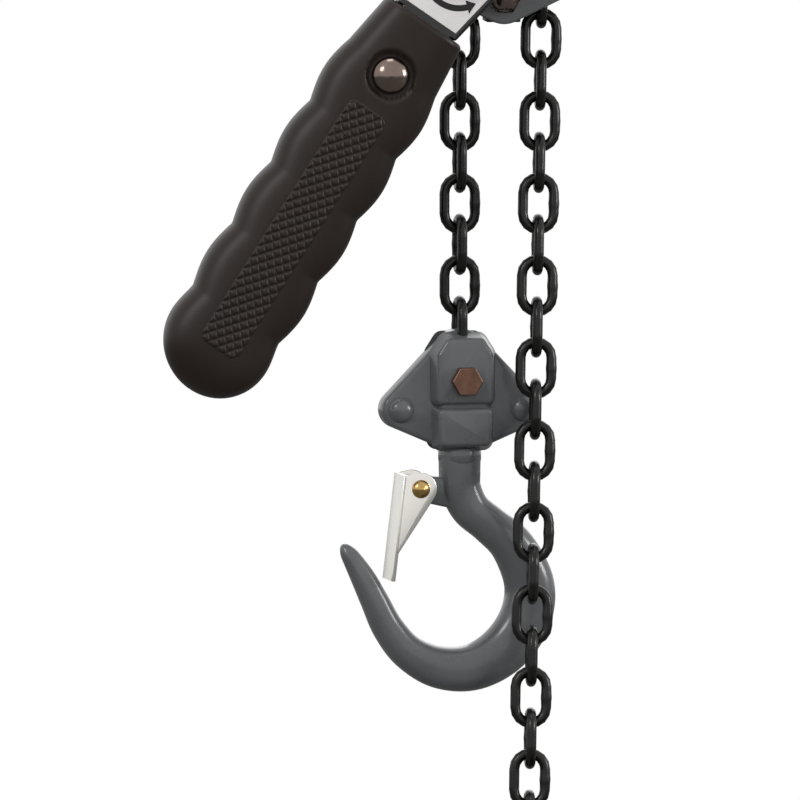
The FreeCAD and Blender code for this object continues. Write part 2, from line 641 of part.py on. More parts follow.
def make_gear(teeth, start, end, phase):
    """Involute gear along Y.  One tooth stands at the phase angle."""
    pitch_radius = MODULE * teeth / 2
    base = pitch_radius * cos(radians(PRESSURE_ANGLE))
    tip = pitch_radius + ADDENDUM * MODULE
    root = pitch_radius - DEDENDUM * MODULE
    half_tooth = pi / (2 * teeth) - BACKLASH / (2 * pitch_radius)
    at_pitch = involute(base, pitch_radius)
    low = max(base, root)
    radii = [low + (tip - low) * k / 5 for k in range(6)]
    flank = [(root, half_tooth + at_pitch)] if root < base else []
    flank += [(radius, half_tooth + at_pitch - involute(base, radius)) for radius in radii]
    points = []
    for tooth in range(teeth):
        middle = radians(phase) + 2 * pi * tooth / teeth
        for radius, spread in flank:
            points.append((radius * cos(middle - spread), radius * sin(middle - spread)))
        for radius, spread in reversed(flank):
            points.append((radius * cos(middle + spread), radius * sin(middle + spread)))
    return prism(points, start, end)


def make_gears():
    """Load gear, two intermediate gears with their pinions, and the pinion shaft."""
    wheel_step = 360.0 / WHEEL_TEETH
    pinion_step = 360.0 / PINION_TEETH
    wheel = make_gear(WHEEL_TEETH, FIRST_STAGE, FIRST_STAGE + GEAR_WIDTH, 0)
    spline = across(JOURNAL_RADIUS - 1, FIRST_STAGE, FIRST_STAGE + GEAR_WIDTH)
    keep("load_gear", at_hub(wheel.cut(spline)))
    for name, x, facing in (("left", -GEAR_CENTRES, 0), ("right", GEAR_CENTRES, 180)):
        small = make_gear(PINION_TEETH, FIRST_STAGE, SECOND_STAGE, facing + pinion_step / 2)
        large = make_gear(WHEEL_TEETH, SECOND_STAGE, SECOND_STAGE + GEAR_WIDTH, facing + wheel_step / 2)
        cluster = joined(small, large).cut(across(PIVOT_PIN_RADIUS + RUNNING, 0, 60))
        keep("intermediate_gear_" + name, at_hub(moved(cluster, V(x, 0, 0))))
    teeth = make_gear(PINION_TEETH, SECOND_STAGE - 0.3, SECOND_STAGE + GEAR_WIDTH + 0.3, 0)
    shaft = across(SHAFT_RADIUS, SHAFT_FRONT, SECOND_STAGE + GEAR_WIDTH + 1.0)
    keep("pinion_shaft", at_hub(joined(teeth, shaft)))


def make_sheave():
    """Load sheave: core groove for upright links, floors for flat links, outer rims and journals."""
    flange = PLATE_IN - 0.5
    groove = WIRE_RADIUS + 0.6
    link_side = LINK_WIDTH / 2 + 0.8
    shape = across(JOURNAL_RADIUS, -PLATE_OUT - 0.2, PLATE_OUT + 0.6)
    shape = joined(shape, across(JOURNAL_RADIUS - 1, 0, FIRST_STAGE + GEAR_WIDTH))
    teeth = across(SHEAVE_TOOTH_RADIUS, -link_side, link_side)
    for turn in (90, 210, 330):
        floor = block((-20, 20), (-10, 10), (SHEAVE_FLOOR, 30))
        teeth = teeth.cut(turned(floor, 90 - turn))
    rims = across(SHEAVE_RIM_RADIUS, -flange, flange)
    rims = rims.cut(across(SHEAVE_RIM_RADIUS + 1, -link_side, link_side))
    shape = shape.fuse(teeth).fuse(rims)
    ring = across(30, -groove, groove).cut(across(SHEAVE_CORE, -groove, groove))
    shape = shape.cut(ring).cut(across(SHAFT_RADIUS + RUNNING, -50, 50))
    keep("load_sheave", at_hub(shape.removeSplitter()))


# ---- brake ----------------------------------------------------------------------------------------
def saw_wheel(start, end):
    """Ratchet disc: each tooth has a face on a radius and a long sloping back."""
    points = []
    for tooth in range(RATCHET_TEETH):
        angle = 2 * pi * tooth / RATCHET_TEETH
        points.append((RATCHET_ROOT * cos(angle), RATCHET_ROOT * sin(angle)))
        points.append((RATCHET_RADIUS * cos(angle), RATCHET_RADIUS * sin(angle)))
    return prism(points, start, end)


def make_brake():
    """Screw brake: hub, friction discs, ratchet disc, pawls and their springs."""
    y = -PLATE_OUT - 0.5
    hub = joined(across(DISC_RADIUS, y - 1.4, y), across(4.2, y - 8.6, y))
    keep("brake_hub", at_hub(hub.cut(across(SHAFT_RADIUS, -60, 60))))
    y -= 1.45
    bore = across(4.2 + RUNNING, -60, 60)
    keep("friction_discs", at_hub(across(DISC_RADIUS, y - 1.2, y).cut(bore)))
    y -= 1.25
    ratchet_back = y
    keep("ratchet_disc", at_hub(saw_wheel(y - 2.4, y).cut(bore)))
    y -= 2.45
    keep("friction_discs", at_hub(across(DISC_RADIUS, y - 1.2, y).cut(bore)))
    pawl_x = PAWL_PIN_REACH * cos(radians(PAWL_PIN_TURN))
    pawl_z = PAWL_PIN_REACH * sin(radians(PAWL_PIN_TURN))
    tip = (PAWL_TIP_REACH * cos(radians(PAWL_TIP_TURN)), PAWL_TIP_REACH * sin(radians(PAWL_TIP_TURN)))
    pawl = rounded([(pawl_x, pawl_z, 2.3), (tip[0], tip[1], 0.7)], ratchet_back - 2.3, ratchet_back - 0.1)
    pawl = pawl.cut(across(PIVOT_PIN_RADIUS - 0.3 + RUNNING, -60, 60, pawl_x, pawl_z))
    spring = Part.makeTorus(1.9, 0.35, V(pawl_x, ratchet_back + 0.6, pawl_z), Y_AXIS)
    for name, turn in (("left", 180), ("right", 0)):
        keep("ratchet_pawl_" + name, at_hub(turned(pawl, turn)))
        keep("pawl_springs", at_hub(turned(spring, turn)))


# ---- lever ----------------------------------------------------------------------------------------
def at_lever(shape):
    """Turn a piece drawn on a lever that hangs straight down to the lever's place."""
    return at_hub(turned(shape, LEVER_ANGLE))


def housing_outline(inset, start, end):
    """Plate of the lever's housing, with its arm down into the grip."""
    head = across(HOUSING_RADIUS - inset, start, end)
    taper = rounded([(0, 0, NECK_TOP - inset), (-NECK_SPREAD, -GRIP_TOP, NECK_BOTTOM - NECK_SPREAD - inset),
                     (NECK_SPREAD, -GRIP_TOP, NECK_BOTTOM - NECK_SPREAD - inset)], start, end)
    taper = taper.cut(block((-30, 30), (-60, 0), (-90, -GRIP_TOP)))
    stem = block((-ARM_WIDTH / 2 + inset, ARM_WIDTH / 2 - inset), (start, end),
                 (-ARM_END + inset, -GRIP_TOP))
    return joined(head, taper, stem)


def make_lever():
    """Two pressed shells riveted together, selector label, rubber grip and its screw and nut."""
    split = (HOUSING_FRONT + HOUSING_BACK) / 2
    for name, start, end in (("front", HOUSING_FRONT, split), ("back", split, HOUSING_BACK)):
        floor = (start + SHELL_WALL, end) if name == "front" else (start, end - SHELL_WALL)
        shell = housing_outline(0, start, end).cut(housing_outline(SHELL_WALL, *floor))
        shell = shell.cut(across(9.5, -60, 0))
        shell = shell.cut(across(2.5, -60, 0, 0, -GRIP_SCREW_REACH))
        shell = shell.cut(across(3.0 + RUNNING, -60, 0, 0, -SELECTOR_REACH))
        for x, z in LEVER_RIVETS:
            shell = shell.cut(across(1.5, -60, 0, x, z))
        keep("lever_%s_shell" % name, at_lever(shell.removeSplitter()))
    for x, z in LEVER_RIVETS:
        rivet = joined(across(1.5, HOUSING_FRONT, HOUSING_BACK, x, z),
                       dome(2.6, 1.0, HOUSING_FRONT, -1, x, z), dome(2.6, 0.8, HOUSING_BACK, 1, x, z))
        keep("lever_rivets", at_lever(rivet))
    label = housing_outline(1.6, HOUSING_FRONT - 0.6, HOUSING_FRONT)
    label = label.cut(block((-20, 20), (-60, 0), (-200, -GRIP_TOP + 2))).cut(across(9.5, -60, 0))
    label = label.cut(across(3.0 + RUNNING, -60, 0, 0, -SELECTOR_REACH))
    for x, z in LEVER_RIVETS:
        label = label.cut(across(3.0, -60, 0, x, z))
    keep("lever_label", at_lever(label))
    make_grip()


def grip_point(half_width, reach):
    """Point on the grip's outline.  A negative half width is on the left."""
    lean = max(0.0, reach - GRIP_SCREW_REACH) * tan(radians(GRIP_LEAN))
    return V(half_width + lean, GRIP_FRONT, -reach)


def grip_outline():
    """Outline of the grip: straight shoulders, four finger bulges each side and a round end."""
    edges = []
    round_start = LEVER_LENGTH - GRIP_END_RADIUS
    for side in (-1, 1):
        shoulder = grip_point(side * GRIP_SHOULDER, GRIP_TOP)
        waists = [grip_point(side * GRIP_WAIST, notch) for notch in GRIP_NOTCHES]
        edges.append(Part.LineSegment(shoulder, waists[0]).toShape())
        for upper, lower, first, last in zip(GRIP_NOTCHES, GRIP_NOTCHES[1:], waists, waists[1:]):
            bulge = grip_point(side * GRIP_BULGE, (upper + lower) / 2)
            edges.append(Part.Arc(first, bulge, last).toShape())
        edges.append(Part.LineSegment(waists[-1], grip_point(side * GRIP_END_RADIUS, round_start)).toShape())
    tip = Part.Arc(grip_point(-GRIP_END_RADIUS, round_start), grip_point(0, LEVER_LENGTH),
                   grip_point(GRIP_END_RADIUS, round_start))
    top = Part.LineSegment(grip_point(-GRIP_SHOULDER, GRIP_TOP), grip_point(GRIP_SHOULDER, GRIP_TOP))
    edges += [tip.toShape(), top.toShape()]
    return Part.Face(Part.Wire(Part.__sortEdges__(edges)))


def make_grip():
    """Rubber grip over the lever's arm, with the domed screw and nut that hold it."""
    grip = grip_outline().extrude(V(0, GRIP_BACK - GRIP_FRONT, 0))
    slot = block((-ARM_WIDTH / 2, ARM_WIDTH / 2), (HOUSING_FRONT, HOUSING_BACK), (-ARM_END, -GRIP_TOP))
    head_face = GRIP_FRONT + 1.2
    grip = grip.cut(slot).cut(across(2.5, -60, 0, 0, -GRIP_SCREW_REACH))
    grip = grip.cut(across(GRIP_SCREW_HEAD + 0.4, -60, head_face, 0, -GRIP_SCREW_REACH))
    grip = grip.cut(across(GRIP_SCREW_HEAD + 0.4, GRIP_BACK - 1.2, 0, 0, -GRIP_SCREW_REACH))
    keep("lever_grip", at_lever(grip))
    screw = joined(across(2.5, head_face, GRIP_BACK - 1.2, 0, -GRIP_SCREW_REACH),
                   dome(GRIP_SCREW_HEAD, 3.0, head_face, -1, 0, -GRIP_SCREW_REACH))
    cross = block((-2.4, 2.4), (-60, GRIP_FRONT - 0.6), (-GRIP_SCREW_REACH - 0.5, -GRIP_SCREW_REACH + 0.5))
    screw = screw.cut(cross).cut(turned(cross, 90, V(0, 0, -GRIP_SCREW_REACH)))
    keep("grip_screw", at_lever(screw))
    nut = joined(across(GRIP_SCREW_HEAD, GRIP_BACK - 1.2, GRIP_BACK, 0, -GRIP_SCREW_REACH),
                 dome(GRIP_SCREW_HEAD, 2.0, GRIP_BACK, 1, 0, -GRIP_SCREW_REACH))
    keep("grip_nut", at_lever(nut))


def make_selector():
    """Selector knob on a spindle through the housing, and its rocking pawl."""
    z = -SELECTOR_REACH
    disc = across(5.6, HOUSING_FRONT - 3.0, HOUSING_FRONT - 0.8, 0, z)
    bar = rounded([(0, z + 3.4, 1.6), (0, z - 3.4, 1.6)], HOUSING_FRONT - 7.0, HOUSING_FRONT - 3.0)
    spindle = across(SELECTOR_SPINDLE, HOUSING_FRONT - 0.8, HOUSING_BACK, 0, z)
    keep("selector_knob", at_lever(joined(disc, bar, spindle)))
    arms = []
    for side in (-1, 1):
        turn = radians(90 + side * PAWL_ARM_TURN)
        arm = rounded([(0, z, 4.4), (PAWL_ARM * cos(turn), z + PAWL_ARM * sin(turn), 0.8)],
                      CHANGE_FRONT, CHANGE_BACK)
        arms.append(arm)
    bore = across(SELECTOR_SPINDLE, CHANGE_FRONT - 1, CHANGE_BACK + 1, 0, z)
    pawl = joined(arms[0], arms[1]).cut(bore)
    keep("change_pawl", at_lever(pawl))


def make_change_gear():
    """Change gear on the brake's thread, with the free-chain knob and its nut in front."""
    points = []
    for tooth in range(CHANGE_TEETH):
        middle = radians(-90 - LEVER_ANGLE) + 2 * pi * tooth / CHANGE_TEETH
        for radius, offset in ((CHANGE_ROOT, -8.0), (CHANGE_RADIUS, -4.0), (CHANGE_RADIUS, 4.0),
                               (CHANGE_ROOT, 8.0)):
            angle = middle + radians(offset)
            points.append((radius * cos(angle), radius * sin(angle)))
    teeth = prism(points, CHANGE_FRONT, CHANGE_BACK)
    sleeve = across(7.0, HOUSING_FRONT - 1.4, -PLATE_OUT - 7.6)
    gear = joined(teeth, sleeve).cut(across(4.2 + RUNNING, -PLATE_OUT - 9.4, 0))
    keep("change_gear", at_hub(gear.cut(across(SHAFT_RADIUS, -60, 60))))
    knob_back = HOUSING_FRONT - 1.6
    knob = across(KNOB_RADIUS, knob_back - KNOB_WIDTH, knob_back)
    for lobe in range(KNOB_LOBES):
        turn = 2 * pi * lobe / KNOB_LOBES
        reach = KNOB_RADIUS + 3.2
        knob = knob.cut(across(5.0, -60, 0, reach * cos(turn), reach * sin(turn)))
    knob = knob.cut(across(6.4, knob_back - KNOB_WIDTH, knob_back - KNOB_WIDTH + 4.0))
    knob = knob.cut(across(SHAFT_RADIUS, -80, 0))
    keep("free_chain_knob", at_hub(knob))
    nut_back = knob_back - KNOB_WIDTH + 4.0
    nut = hexagon(7.0, nut_back - 3.4, nut_back).cut(across(SHAFT_RADIUS, -80, 0))
    keep("knob_nut", at_hub(nut))


# ---- build ----------------------------------------------------------------------------------------
def main():
    make_chain_on_sheave()
    make_load_chain()
    make_tail_end(make_tail_chain())
    make_hook_end("load", BLOCK_HALF, True, at_load_end)
    make_hook_end("top", TOP_BLOCK_HALF, False, at_top_end)
    make_block_bolt()
    make_plates()
    make_frame_parts()
    make_gears()
    make_sheave()
    make_brake()
    make_lever()
    make_selector()
    make_change_gear()
    os.makedirs("parts", exist_ok=True)
    for name, solids in NODES.items():
        bodies = [body for solid in solids for body in solid.Solids]
        shape = bodies[0] if len(bodies) == 1 else Part.makeCompound(bodies)
        shape.exportStep("parts/%s.step" % name)
        print(name, len(bodies), shape.isValid(), round(shape.Volume, 1))


main()
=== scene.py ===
import json
import math

import bmesh
import bpy
import numpy as np
from bpy.props import FloatProperty, IntProperty, PointerProperty, StringProperty
from mathutils import Matrix, Vector

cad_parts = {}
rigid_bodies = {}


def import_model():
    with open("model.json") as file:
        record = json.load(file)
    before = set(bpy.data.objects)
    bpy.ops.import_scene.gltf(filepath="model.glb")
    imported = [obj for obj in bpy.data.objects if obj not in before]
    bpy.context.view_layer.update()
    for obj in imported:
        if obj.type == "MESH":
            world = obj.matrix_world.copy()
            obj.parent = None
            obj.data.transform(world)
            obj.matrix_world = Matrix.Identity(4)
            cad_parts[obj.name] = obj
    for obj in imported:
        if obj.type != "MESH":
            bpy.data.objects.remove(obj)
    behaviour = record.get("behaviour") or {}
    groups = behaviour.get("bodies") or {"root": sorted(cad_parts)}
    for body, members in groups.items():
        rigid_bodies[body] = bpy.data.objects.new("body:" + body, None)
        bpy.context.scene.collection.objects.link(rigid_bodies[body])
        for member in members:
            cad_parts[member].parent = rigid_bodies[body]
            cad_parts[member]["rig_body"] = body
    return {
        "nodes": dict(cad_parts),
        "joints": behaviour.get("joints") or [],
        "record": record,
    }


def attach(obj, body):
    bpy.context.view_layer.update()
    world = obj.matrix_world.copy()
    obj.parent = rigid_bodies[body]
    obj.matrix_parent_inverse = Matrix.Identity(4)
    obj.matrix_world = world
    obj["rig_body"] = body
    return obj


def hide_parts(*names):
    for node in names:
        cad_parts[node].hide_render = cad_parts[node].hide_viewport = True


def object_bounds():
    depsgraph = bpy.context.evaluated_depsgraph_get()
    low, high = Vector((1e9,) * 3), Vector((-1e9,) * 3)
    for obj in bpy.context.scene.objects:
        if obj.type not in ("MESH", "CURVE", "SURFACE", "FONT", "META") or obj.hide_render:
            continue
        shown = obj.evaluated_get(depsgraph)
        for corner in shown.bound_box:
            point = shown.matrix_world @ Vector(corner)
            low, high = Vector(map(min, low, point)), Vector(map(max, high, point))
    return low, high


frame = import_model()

bl_info = {
    "name": "Mini lever chain hoist",
    "version": (1, 0, 0),
    "blender": (4, 5, 0),
    "location": "View3D > Sidebar > Hoist",
    "description": "Finished pieces and materials of a mini lever chain hoist",
    "category": "Object",
}

CAD_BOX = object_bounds()
MM = 0.001
DOWN = np.array([0.0, 0.0, -1.0])
ACROSS = np.array([0.0, 1.0, 0.0])          # the hoist's depth, along which every shaft lies
SLOTS = {part["node"]: part["material_slot"] for part in frame["record"]["subparts"]}


def joint_place(name):
    """Where a joint turns, in millimetres."""
    return np.array(next(j for j in frame["joints"] if j["name"] == name)["pos_m"]) / MM


HUB = joint_place("lever_swing") * (1, 0, 1)
BLOCK_BOLT = joint_place("load_hook_swivel") * (0, 0, 1)
YOKE_PIN = joint_place("head_tilt") * (0, 0, 1)


# ---- sizes and colours ---------------------------------------------------------------------------
class HoistSizes(bpy.types.PropertyGroup):
    """Sizes in millimetres, apart from the counts and the angles."""

    pitch: FloatProperty(name="Chain pitch", description="Inside length of a link", default=12.0)
    wire: FloatProperty(name="Chain wire", description="Diameter of the chain's wire", default=3.0)
    link_width: FloatProperty(name="Link width", description="Outside width of a link", default=12.0)
    link_play: FloatProperty(name="Link play", description="Slack in each joint of the chain", default=0.1)
    weld_swell: FloatProperty(name="Weld swell", description="Extra wire radius at a link's weld",
                              default=0.14)
    load_links: IntProperty(name="Load links", description="Links from sheave to load block", default=12)
    tail_links: IntProperty(name="Slack links", description="Straight links of the slack chain", default=23)
    hank_links: IntProperty(name="Hank links", description="Links in a run of the stored chain", default=9)
    hank_side: IntProperty(name="Hank side", description="Runs each way in the stored chain", default=3)
    block_twist: FloatProperty(name="Block twist", description="Turn of the load block, in degrees",
                               default=8.0)
    lever_angle: FloatProperty(name="Lever angle", description="From hanging straight down, in degrees",
                               default=34.6)
    grip_top: FloatProperty(name="Grip top", description="From the hub to the grip's upper end",
                            default=43.0)
    grip_end: FloatProperty(name="Grip end", description="From the hub to the grip's lower end",
                            default=169.0)
    grip_front: FloatProperty(name="Grip front", description="Depth of the grip's front face",
                              default=-43.0)
    grip_back: FloatProperty(name="Grip back", description="Depth of the grip's back face", default=-18.5)
    knurl_width: FloatProperty(name="Knurl width", description="Width of the chequered panel",
                               default=13.2)
    knurl_pitch: FloatProperty(name="Knurl pitch", description="Width of one diamond", default=3.0)
    knurl_height: FloatProperty(name="Knurl height", description="Height of one diamond", default=0.6)


class HoistColours(bpy.types.PropertyGroup):
    """Colours as sRGB hex values."""

    paint: StringProperty(name="Paint", description="Grey enamel of plates, blocks and hooks",
                          default="#5c5e60")
    chain: StringProperty(name="Chain", description="Blackened chain steel", default="#151312")
    rubber: StringProperty(name="Rubber", description="Moulded grip", default="#241b17")
    shell: StringProperty(name="Shell", description="Black enamel of the lever", default="#121112")
    label: StringProperty(name="Label", description="Silver label film", default="#f0eeee")
    ink: StringProperty(name="Ink", description="Printed arrow", default="#141314")
    bright: StringProperty(name="Bright steel", description="Nickel-plated latch", default="#f8f5ee")
    nut: StringProperty(name="Nuts", description="Polished cap nuts and screws", default="#85766e")
    copper: StringProperty(name="Copper bolt", description="Copper-plated bolt", default="#7f6052")
    gold: StringProperty(name="Gold rivet", description="Yellow passivated rivet", default="#c7a368")


# ---- surfaces --------------------------------------------------------------------------------------
def grid_faces(rows, columns, loop=False):
    """Quads of a grid whose columns close on themselves, and its rows too if loop is set."""
    row = np.arange(rows if loop else rows - 1)[:, None]
    column = np.arange(columns)[None, :]
    below, beside = (row + 1) % rows, (column + 1) % columns
    quads = np.stack([row * columns + column, row * columns + beside,
                      below * columns + beside, below * columns + column], -1)
    return quads.reshape(-1, 4).tolist()


def skin(rings):
    """A closed surface from rings of points: quads between neighbours and a face over each end."""
    rows, columns = rings.shape[:2]
    caps = [list(range(columns))[::-1], list(range((rows - 1) * columns, rows * columns))]
    return rings.reshape(-1, 3), grid_faces(rows, columns) + caps


def carried(centres, sides, widths, depths, power, count=40):
    """Superellipse carried along a path: cos^(2/power) runs across it and sin^(2/power) along Y."""
    turn = np.linspace(0, 2 * np.pi, count, endpoint=False)
    flat = np.sign(np.cos(turn)) * np.abs(np.cos(turn)) ** (2 / power)
    deep = np.sign(np.sin(turn)) * np.abs(np.sin(turn)) ** (2 / power)
    rings = centres[:, None] + sides[:, None] * (widths[:, None] * flat)[..., None]
    return skin(rings + ACROSS * (depths[:, None] * deep)[..., None])


def turned(profile, x=0.0, z=0.0, count=40):
    """Profile of (radius, depth) pairs turned about a line along Y."""
    turn = np.linspace(0, 2 * np.pi, count, endpoint=False)
    radius, depth = np.array(profile, float).T[:, :, None]
    rings = np.stack([x + radius * np.cos(turn), depth + 0 * turn, z + radius * np.sin(turn)], -1)
    return skin(rings)


def rounded_outline(circles, step=12.0):
    """Tight band round circles (x, z, radius) given anticlockwise, with a point every few degrees."""
    circles = np.array(circles, float)
    ahead = np.roll(circles, -1, 0)
    gap = ahead[:, :2] - circles[:, :2]
    leaving = np.arctan2(gap[:, 1], gap[:, 0]) - np.arccos((circles[:, 2] - ahead[:, 2])
                                                           / np.hypot(gap[:, 0], gap[:, 1]))
    arriving = np.roll(leaving, 1)
    points = []
    for (x, z, radius), start, end in zip(circles, arriving, leaving):
        sweep = (end - start) % (2 * np.pi)
        turn = start + np.linspace(0, sweep, max(2, int(math.degrees(sweep) / step) + 2))
        points.append(np.stack([x + radius * np.cos(turn), z + radius * np.sin(turn)], -1))
    return np.concatenate(points)


def slab(outline, profile):
    """Outline carried along Y through (inset, depth) pairs: an inset shrinks it along its normals."""
    outline = np.array(outline, float)
    before = outline - np.roll(outline, 1, 0)
    after = np.roll(outline, -1, 0) - outline
    before /= np.linalg.norm(before, axis=1)[:, None]
    after /= np.linalg.norm(after, axis=1)[:, None]
    tangent = before + after
    tangent /= np.linalg.norm(tangent, axis=1)[:, None]
    reach = 1 / np.maximum(0.5, np.sum(tangent * after, 1))
    normal = np.stack([tangent[:, 1], -tangent[:, 0]], -1) * reach[:, None]
    rings = []
    for inset, depth in profile:
        ring = outline - normal * inset
        rings.append(np.stack([ring[:, 0], np.full(len(ring), depth), ring[:, 1]], -1))
    return skin(np.array(rings))


def soft_edges(front, back, edge):
    """Slab profile from back to front with quarter-round edges of a given radius."""
    turn = np.radians([0, 30, 60, 90])
    toward = np.sign(front - back)
    low = [(edge * (1 - math.sin(a)), back + toward * edge * (1 - math.cos(a))) for a in turn]
    high = [(edge * (1 - math.cos(a)), front - toward * edge * (1 - math.sin(a))) for a in turn]
    return low + high


def smooth_through(stations, count):
    """Natural-looking curve through stations: Catmull-Rom blend of every column, evenly split."""
    stations = np.array(stations, float)
    padded = np.vstack([2 * stations[0] - stations[1], stations, 2 * stations[-1] - stations[-2]])
    place = np.linspace(0, len(stations) - 1 - 1e-9, count)
    index = place.astype(int)
    t = (place - index)[:, None]
    a, b, c, d = (padded[index + k] for k in range(4))
    return 0.5 * (2 * b + (c - a) * t + (2 * a - 5 * b + 4 * c - d) * t ** 2
                  + (3 * b - a - 3 * c + d) * t ** 3)


def mirrored(part):
    """The same surface on the other side of the middle plane."""
    points, faces = part
    return points * (1, -1, 1), [face[::-1] for face in faces]


def spun(points, degrees_about_y):
    """Points turned about the Y axis."""
    turn = math.radians(degrees_about_y)
    x, y, z = points.T
    return np.stack([x * math.cos(turn) + z * math.sin(turn), y,
                     z * math.cos(turn) - x * math.sin(turn)], -1)


def at_lever(part):
    """Place a piece that is drawn on a lever hanging straight down from the hub."""
    return spun(part[0], bpy.context.scene.hoist_sizes.lever_angle) + HUB, part[1]


def at_load_end(part):
    """Hang a piece at the load block's bolt, turned as the chain has twisted."""
    turn = math.radians(bpy.context.scene.hoist_sizes.block_twist)
    x, y, z = part[0].T
    points = np.stack([x * math.cos(turn) - y * math.sin(turn),
                       x * math.sin(turn) + y * math.cos(turn), z], -1)
    return points + BLOCK_BOLT, part[1]


def at_top_end(part):
    """Stand a piece upside down on the yoke pin."""
    return spun(part[0], 180) + YOKE_PIN, part[1]


ENDS = {"load": at_load_end, "top": at_top_end}


def make_piece(name, parts, nodes, sharp=42.0, material=None):
    """One object from closed surfaces in millimetres.  It stands for the nodes and rides with them."""
    points = np.concatenate([part[0] for part in parts]) * MM
    faces, first = [], 0
    for part in parts:
        faces += [[corner + first for corner in face] for face in part[1]]
        first += len(part[0])
    mesh = bpy.data.meshes.new(name)
    mesh.from_pydata(points, [], faces)
    shape = bmesh.new()
    shape.from_mesh(mesh)
    bmesh.ops.recalc_face_normals(shape, faces=shape.faces)
    shape.to_mesh(mesh)
    shape.free()
    return finish_piece(name, mesh, nodes, sharp, material)


def finish_piece(name, mesh, nodes, sharp, material=None):
    """Shade a mesh, put it in the scene and tie it to the nodes that it stands for."""
    mesh.polygons.foreach_set("use_smooth", np.ones(len(mesh.polygons), bool))
    mesh.set_sharp_from_angle(angle=math.radians(sharp))
    slot = SLOTS[nodes[0]]
    mesh.materials.clear()
    mesh.materials.append(bpy.data.materials[material or slot])
    piece = bpy.data.objects.new(name, mesh)
    bpy.context.scene.collection.objects.link(piece)
    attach(piece, frame["nodes"][nodes[0]]["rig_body"])
    if not material:
        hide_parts(*nodes)
    return piece


def dressed(node, edge):
    """The node's own shape as one welded mesh, with its sharp edges rounded to a small radius."""
    mesh = frame["nodes"][node].data.copy()
    shape = bmesh.new()
    shape.from_mesh(mesh)
    bmesh.ops.remove_doubles(shape, verts=shape.verts, dist=0.002 * MM)
    bmesh.ops.dissolve_limit(shape, angle_limit=math.radians(0.6), verts=shape.verts, edges=shape.edges)
    shape.to_mesh(mesh)
    shape.free()
    piece = finish_piece(node + "_finished", mesh, [node], 34.0)
    if edge:
        bevel = piece.modifiers.new("soft edges", "BEVEL")
        bevel.width = edge * MM
        bevel.segments = 2
        bevel.limit_method = "ANGLE"
        bevel.angle_limit = math.radians(34.0)
        bevel.use_clamp_overlap = False
        bevel.harden_normals = True
    return piece


# ---- finishes ---------------------------------------------------------------------------------------
def linear(hex_colour):
    """Linear colour of an sRGB hex value."""
    channels = [int(hex_colour[k:k + 2], 16) / 255 for k in (1, 3, 5)]
    return [c / 12.92 if c <= 0.04045 else ((c + 0.055) / 1.055) ** 2.4 for c in channels] + [1.0]


def add(material, kind, inputs=None, **settings):
    """Add a node of a kind to a material, with its settings and its inputs' values or links."""
    tree = material.node_tree
    node = tree.nodes.new("ShaderNode" + kind)
    for name, value in settings.items():
        setattr(node, name, value)
    for name, value in (inputs or {}).items():
        if isinstance(value, bpy.types.NodeSocket):
            tree.links.new(value, node.inputs[name])
        else:
            node.inputs[name].default_value = value
    return node


def per_metre(size_mm):
    """Texture scale whose features are about this many millimetres."""
    return 1 / (size_mm * MM)


def finish(name, colour, roughness, metallic=0.0, mottle=0.15, mottle_mm=9.0, grain_mm=0.9, grain=0.15,
           depth_mm=0.05, spread=0.12, **shader_values):
    """Surface with soft patches of tone, roughness that varies with them, and a fine raised grain.

    mottle: how far the tone strays.  grain_mm and depth_mm: width and height of the raised grain.
    """
    if name in bpy.data.materials:      # the frame's plain material of this name steps aside
        bpy.data.materials[name].name = name + "_plain"
    material = bpy.data.materials.new(name)
    material.use_nodes = True
    shader = material.node_tree.nodes["Principled BSDF"]
    place = add(material, "TexCoord").outputs["Object"]
    patches = add(material, "TexNoise", {"Vector": place, "Scale": per_metre(mottle_mm), "Detail": 4.0,
                                         "Roughness": 0.6}).outputs["Fac"]
    base = np.array(linear(colour))
    tones = add(material, "ValToRGB", {"Fac": patches})
    tones.color_ramp.elements[0].position = 0.3
    tones.color_ramp.elements[0].color = [*(base[:3] * (1 - mottle)), 1]
    tones.color_ramp.elements[1].position = 0.7
    tones.color_ramp.elements[1].color = [*np.minimum(1, base[:3] * (1 + mottle)), 1]
    polish = add(material, "MapRange", {"Value": patches, "To Min": max(0.02, roughness - spread / 2),
                                        "To Max": roughness + spread / 2})
    fine = add(material, "TexNoise", {"Vector": place, "Scale": per_metre(grain_mm), "Detail": 3.0})
    bump = add(material, "Bump", {"Height": fine.outputs["Fac"], "Strength": grain,
                                  "Distance": depth_mm * MM})
    links = material.node_tree.links
    links.new(tones.outputs["Color"], shader.inputs["Base Color"])
    links.new(polish.outputs["Result"], shader.inputs["Roughness"])
    links.new(bump.outputs["Normal"], shader.inputs["Normal"])
    shader.inputs["Metallic"].default_value = metallic
    for socket, value in shader_values.items():
        shader.inputs[socket.replace("_", " ")].default_value = value
    return material


